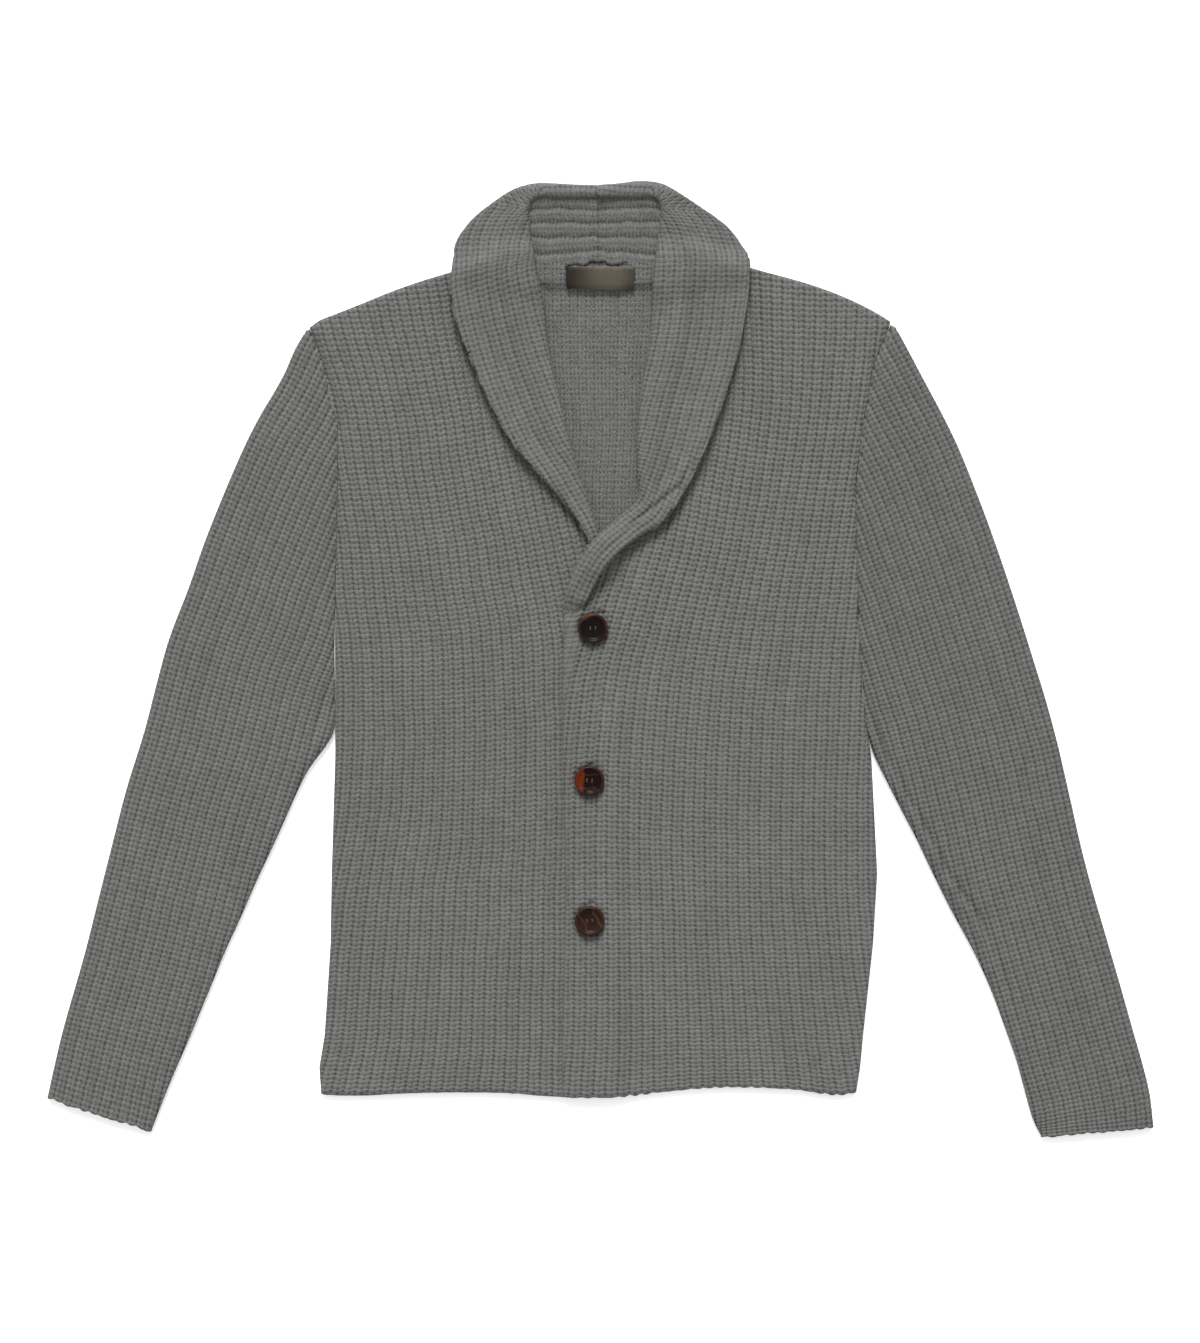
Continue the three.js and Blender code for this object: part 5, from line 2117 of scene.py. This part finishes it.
# the buttons' horn, each button with its own part of it
HORNS = {
    "top": HornFinish(
        "horn top", (0.0042, 0.0023, 0.002), (0.08, 0.026, 0.013), centre=(-7.3, 27.1),
        way=120.0, start=8.6, streak=0.0, turn=4.0,
    ),
    "middle": HornFinish(
        "horn middle", (0.0055, 0.0012, 0.001), (0.085, 0.012, 0.001),
        centre=(-10.2, -101.8), way=180.0, start=3.6, streak=0.10, turn=-6.0,
    ),
    "bottom": HornFinish(
        "horn bottom", (0.009, 0.0045, 0.0033), (0.015, 0.0065, 0.004),
        centre=(-10.0, -220.3), way=-60.0, start=-6.0, streak=0.16, turn=8.0,
    ),
}

# the looks of the knit: the back's purl side, the sleeves, the fall and the stretched stand
BACK_KNIT = KnitFinish(
    "knit back", (0.102, 0.1023, 0.0990), painted_gutter_shade=0.06, painted_gap_shade=0.0, painted_dash_shade=0.45,
    painted_leg_shade=0.04, painted_pip_shade=0.5, slant=0, fibre=2.8,
)
SLEEVE_KNIT = KnitFinish(
    "knit sleeve", gutter=0.3, painted_gutter_shade=0.28, painted_gap_shade=0.17, painted_dash_shade=0.40,
    painted_leg_shade=0.26, painted_pip_shade=0.34, slant=0.12, twist=0.05, zigzag=0.04,
)
COLLAR_KNIT = KnitFinish(
    "knit collar", (0.1125, 0.1128, 0.1093), painted_gutter_shade=0.24, painted_gap_shade=0.16,
    painted_dash_shade=0.28, painted_leg_shade=0.20, painted_pip_shade=0.18, fibre=1.3,
)
STAND_KNIT = KnitFinish(
    "knit stand", (0.115, 0.1153, 0.1117), gutter=0.42, painted_gutter_shade=0.3, painted_gap_shade=0.16,
    painted_dash_shade=0.2, painted_leg_shade=0.18, painted_pip_shade=0.08, slant=0.5, fibre=2.4,
)
SEWING = KnitFinish(
    "sewing yarn", (0.085, 0.045, 0.03), painted_gutter_shade=0, painted_gap_shade=0, painted_dash_shade=0, bump=0.1
)

# the first crease of a front lies along the collar's edge
FRONTS = {
    Side.RIGHT: Front(
        "knit_front_right", "front_right", side=Side.RIGHT, neck=RIGHT_NECK,
        knit=KnitFinish("knit front right", painted_chest_light=0.05, twist=-0.1),
        creases=[
            crease(((-132, 328), (-131, 298), (-119, 273), (-108, 236), (-90, 203),
                    (-67, 170), (-54, 153), (-31, 134), (-12, 110)), 3.4, 16),
            crease(((-34, 34), (-34.5, -90), (-34.2, -230), (-34, -365)), 1.5, 2.2),
        ],
        guide=(
            (-367, -31.5), (-200, -30), (-136, -29.5), (-60, -30.5), (-17, -31.5),
            (17.4, -33.4), (51.4, -39.5), (85.4, -46.5), (136.4, -57.5), (204.4, -69.3),
            (272.4, -79.5), (323.4, -86.3), (347, -88),
        ),
        widths=(
            (-367, 10.45), (-322, 9.95), (-255, 9.65), (-195, 9.35), (-136, 8.85), (-76, 8.6),
            (-17, 8.55), (43, 8.5), (102, 8.2), (162, 8.1), (221, 8.15), (281, 8.7), (347, 9.2),
        ),
    ),
    Side.LEFT: Front(
        "knit_front_left", "front_left", side=Side.LEFT, neck=LEFT_NECK,
        edge=-32 * MM, wale_count=28.5, hidden_wales=5, strip=11 * MM,
        knit=KnitFinish("knit front left", painted_chest_light=0.05, twist=0.1),
        creases=[
            crease(((131, 333), (128, 301), (123, 272), (111, 230), (95, 191), (79, 160),
                    (63, 139), (45, 115), (29, 100), (12, 84), (-3, 67), (-15, 53)), 3.6, 15),
            crease(((-12, -89.4), (-9, -88.2), (-6, -89.6)), 3.4, 1.2),
            crease(((-11, -206.4), (-8.5, -205), (-6, -206.6)), 3.0, 1.2),
            crease(((-7, 40.2), (-1, 40.8), (4, 39.2)), 3.0, 1.4),
            *[moat(*horn.centre) for horn in HORNS.values()],
        ],
        guide=(
            (-367, -28), (-322, -24.6), (-255, -22.9), (-195, -23), (-136, -23.5), (-76, -21),
            (-17, -14.2), (43, 2.3), (102, 20.8), (162, 31.7), (221, 38.2), (281, 29.3),
            (347, 22.1),
        ),
        widths=(
            (-367, 10.35), (-322, 9.9), (-255, 9.45), (-195, 9.25), (-136, 9.25), (-76, 9.2),
            (-17, 9.05), (43, 8.6), (102, 8.15), (162, 8.1), (221, 8.2), (281, 8.9), (347, 9.3),
        ),
    ),
}
SLEEVES = {
    Side.RIGHT: Sleeve(
        "knit_sleeve_right", "sleeve_right", SLEEVE_STITCHES, side=Side.RIGHT,
        knit=replace(SLEEVE_KNIT, name="knit sleeve right", tone=(0.1135, 0.1138, 0.1103)),
        creases=[
            crease(((-229, 20), (-231, -15), (-236, -45), (-244, -66)), 1.6, 4, 0.3),
            crease(((-259, 60), (-246, 20), (-238, -15)), 1.0, 6, 0.4),
        ],
        cap=(
            (-251.5, 279.5, 281), (-260, 265, 255), (-269.5, 243.5, 222), (-277.8, 228.4, 200),
            (-290.5, 207, 171), (-303.2, 182, 143), (-323.8, 134.4, 90), (-338, 98.2, 51),
        ),
        arm=(
            (-349.8, 64.2, -226.8, 15), (-367.6, 17.4, -226.6, -28.5), (-378, -20, -228.2, -62),
            (-388, -59, -250.3, -96), (-403.3, -108.4, -272.4, -143),
            (-415.2, -154.3, -291, -184), (-427, -201, -312.4, -231),
            (-438.2, -246, -330.2, -274), (-458.6, -318.3, -360, -344),
            (-470.2, -369, -382, -398.3),
        ),
    ),
    Side.LEFT: Sleeve(
        "knit_sleeve_left", "sleeve_left", SLEEVE_STITCHES, side=Side.LEFT,
        knit=replace(SLEEVE_KNIT, name="knit sleeve left", tone=(0.108, 0.1083, 0.105)),
        wale_widths=(8.9, 8.7, 8.5),
        creases=[
            crease(((222, -28), (227, -48), (247, -92), (275, -143), (296, -184),
                    (309, -202), (321, -219), (341, -267), (352, -309)), 2.4, 2.6, 0.5),
            crease(((222, 12), (225, -20), (231, -50), (240, -74)), 2.2, 4, 0.3),
        ],
        cap=(
            (250.3, 282, 285), (257.7, 268.7, 255), (271, 243.5, 222), (280.8, 225.3, 200),
            (292, 204, 171), (302, 183.4, 143), (321, 136.3, 90), (335, 98.2, 51),
        ),
        arm=(
            (353.5, 43, 220, -2), (366.9, 0.4, 223.6, -42), (377.4, -33.6, 228.4, -73),
            (387.2, -70, 242.5, -104), (395.7, -106.7, 260.5, -138), (411, -173, 292, -202),
            (430.5, -241, 326, -269), (450, -309, 350.6, -334.5),
            (465.4, -367.6, 365.9, -388), (468.6, -394.2, 373.2, -402.6),
        ),
    ),
}
COLLARS = {
    Side.RIGHT: CollarHalf(
        "knit_collar_right", "collar_right", COLLAR_STITCHES, side=Side.RIGHT, neck=RIGHT_NECK,
        knit=replace(COLLAR_KNIT, name="knit collar right"),
        stand_knit=replace(STAND_KNIT, name="knit stand right"),
        creases=[crease(((-45, 147), (-33, 134), (-22, 119), (-15, 102)), 1.6, 2, 0.4)],
    ),
    Side.LEFT: CollarHalf(
        "knit_collar_left", "collar_left", COLLAR_STITCHES, side=Side.LEFT, neck=LEFT_NECK,
        knit=replace(COLLAR_KNIT, name="knit collar left"),
        stand_knit=replace(STAND_KNIT, name="knit stand left"),
        creases=[
            crease(((87, 188), (78, 168), (67.6, 149), (49.7, 134), (32.7, 120), (16.6, 104),
                    (-0.4, 89), (-11.5, 72.7), (-20.8, 51.4)), 2.2, 2.2, 0.35),
        ],
    ),
}
# the ribbed hollow above the label
NECK_HOLLOW = crease(((-31, 334.8), (-18, 335.4), (14, 335.2), (26, 334.2)), 3.2, 1.8)


class Blazer:
    """The whole blazer, made in the order in which its pieces lie on each other."""

    def build(self) -> None:
        """Builds every piece, from the table upwards."""
        under = Pile()
        for half in COLLARS.values():
            under.lay(half.underside_points())
        back = Back("knit_back", "back", creases=[NECK_HOLLOW], knit=BACK_KNIT)
        back.build(under)
        self.fronts_and_collar(under, back.top)
        for sleeve in SLEEVES.values():
            sleeve.build()
        alone = Pile(reach=2 * MM)
        alone.lay(back.top)
        NeckLabel().build(alone)
        thread = SEWING.build()
        for name, horn in HORNS.items():
            HornButton(f"horn_button_{name}", f"button_{name}", horn, thread).build()

    def fronts_and_collar(self, under: Pile, back_top: Array) -> None:
        """Builds each front and then the collar half that lies on it, the right ones first.

        Args:
            under: The hidden part of the collar under the back.
            back_top: The points of the back's inner face.
        """
        cloth = Pile(heights=under.heights)
        cloth.lay(back_top)
        ground = Pile(heights=cloth.heights)
        stands = {side: half.lay_stand(under) for side, half in COLLARS.items()}
        for side, half in COLLARS.items():
            FRONTS[side].build(cloth)
            ground.lay(FRONTS[side].top)
            for face, _ in stands.values():
                cloth.lay(face.points)
            cloth.lay(half.hidden_stand(ground))
            half.build(stands[side], ground, cloth)
            ground.lay(half.top)


def main() -> None:
    """Loads the frame, then builds the studio and the blazer."""
    logging.basicConfig(level=logging.INFO, format="%(name)s: %(message)s")
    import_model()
    select_none()
    Studio().build()
    Blazer().build()


if __name__ == "__main__":
    main()
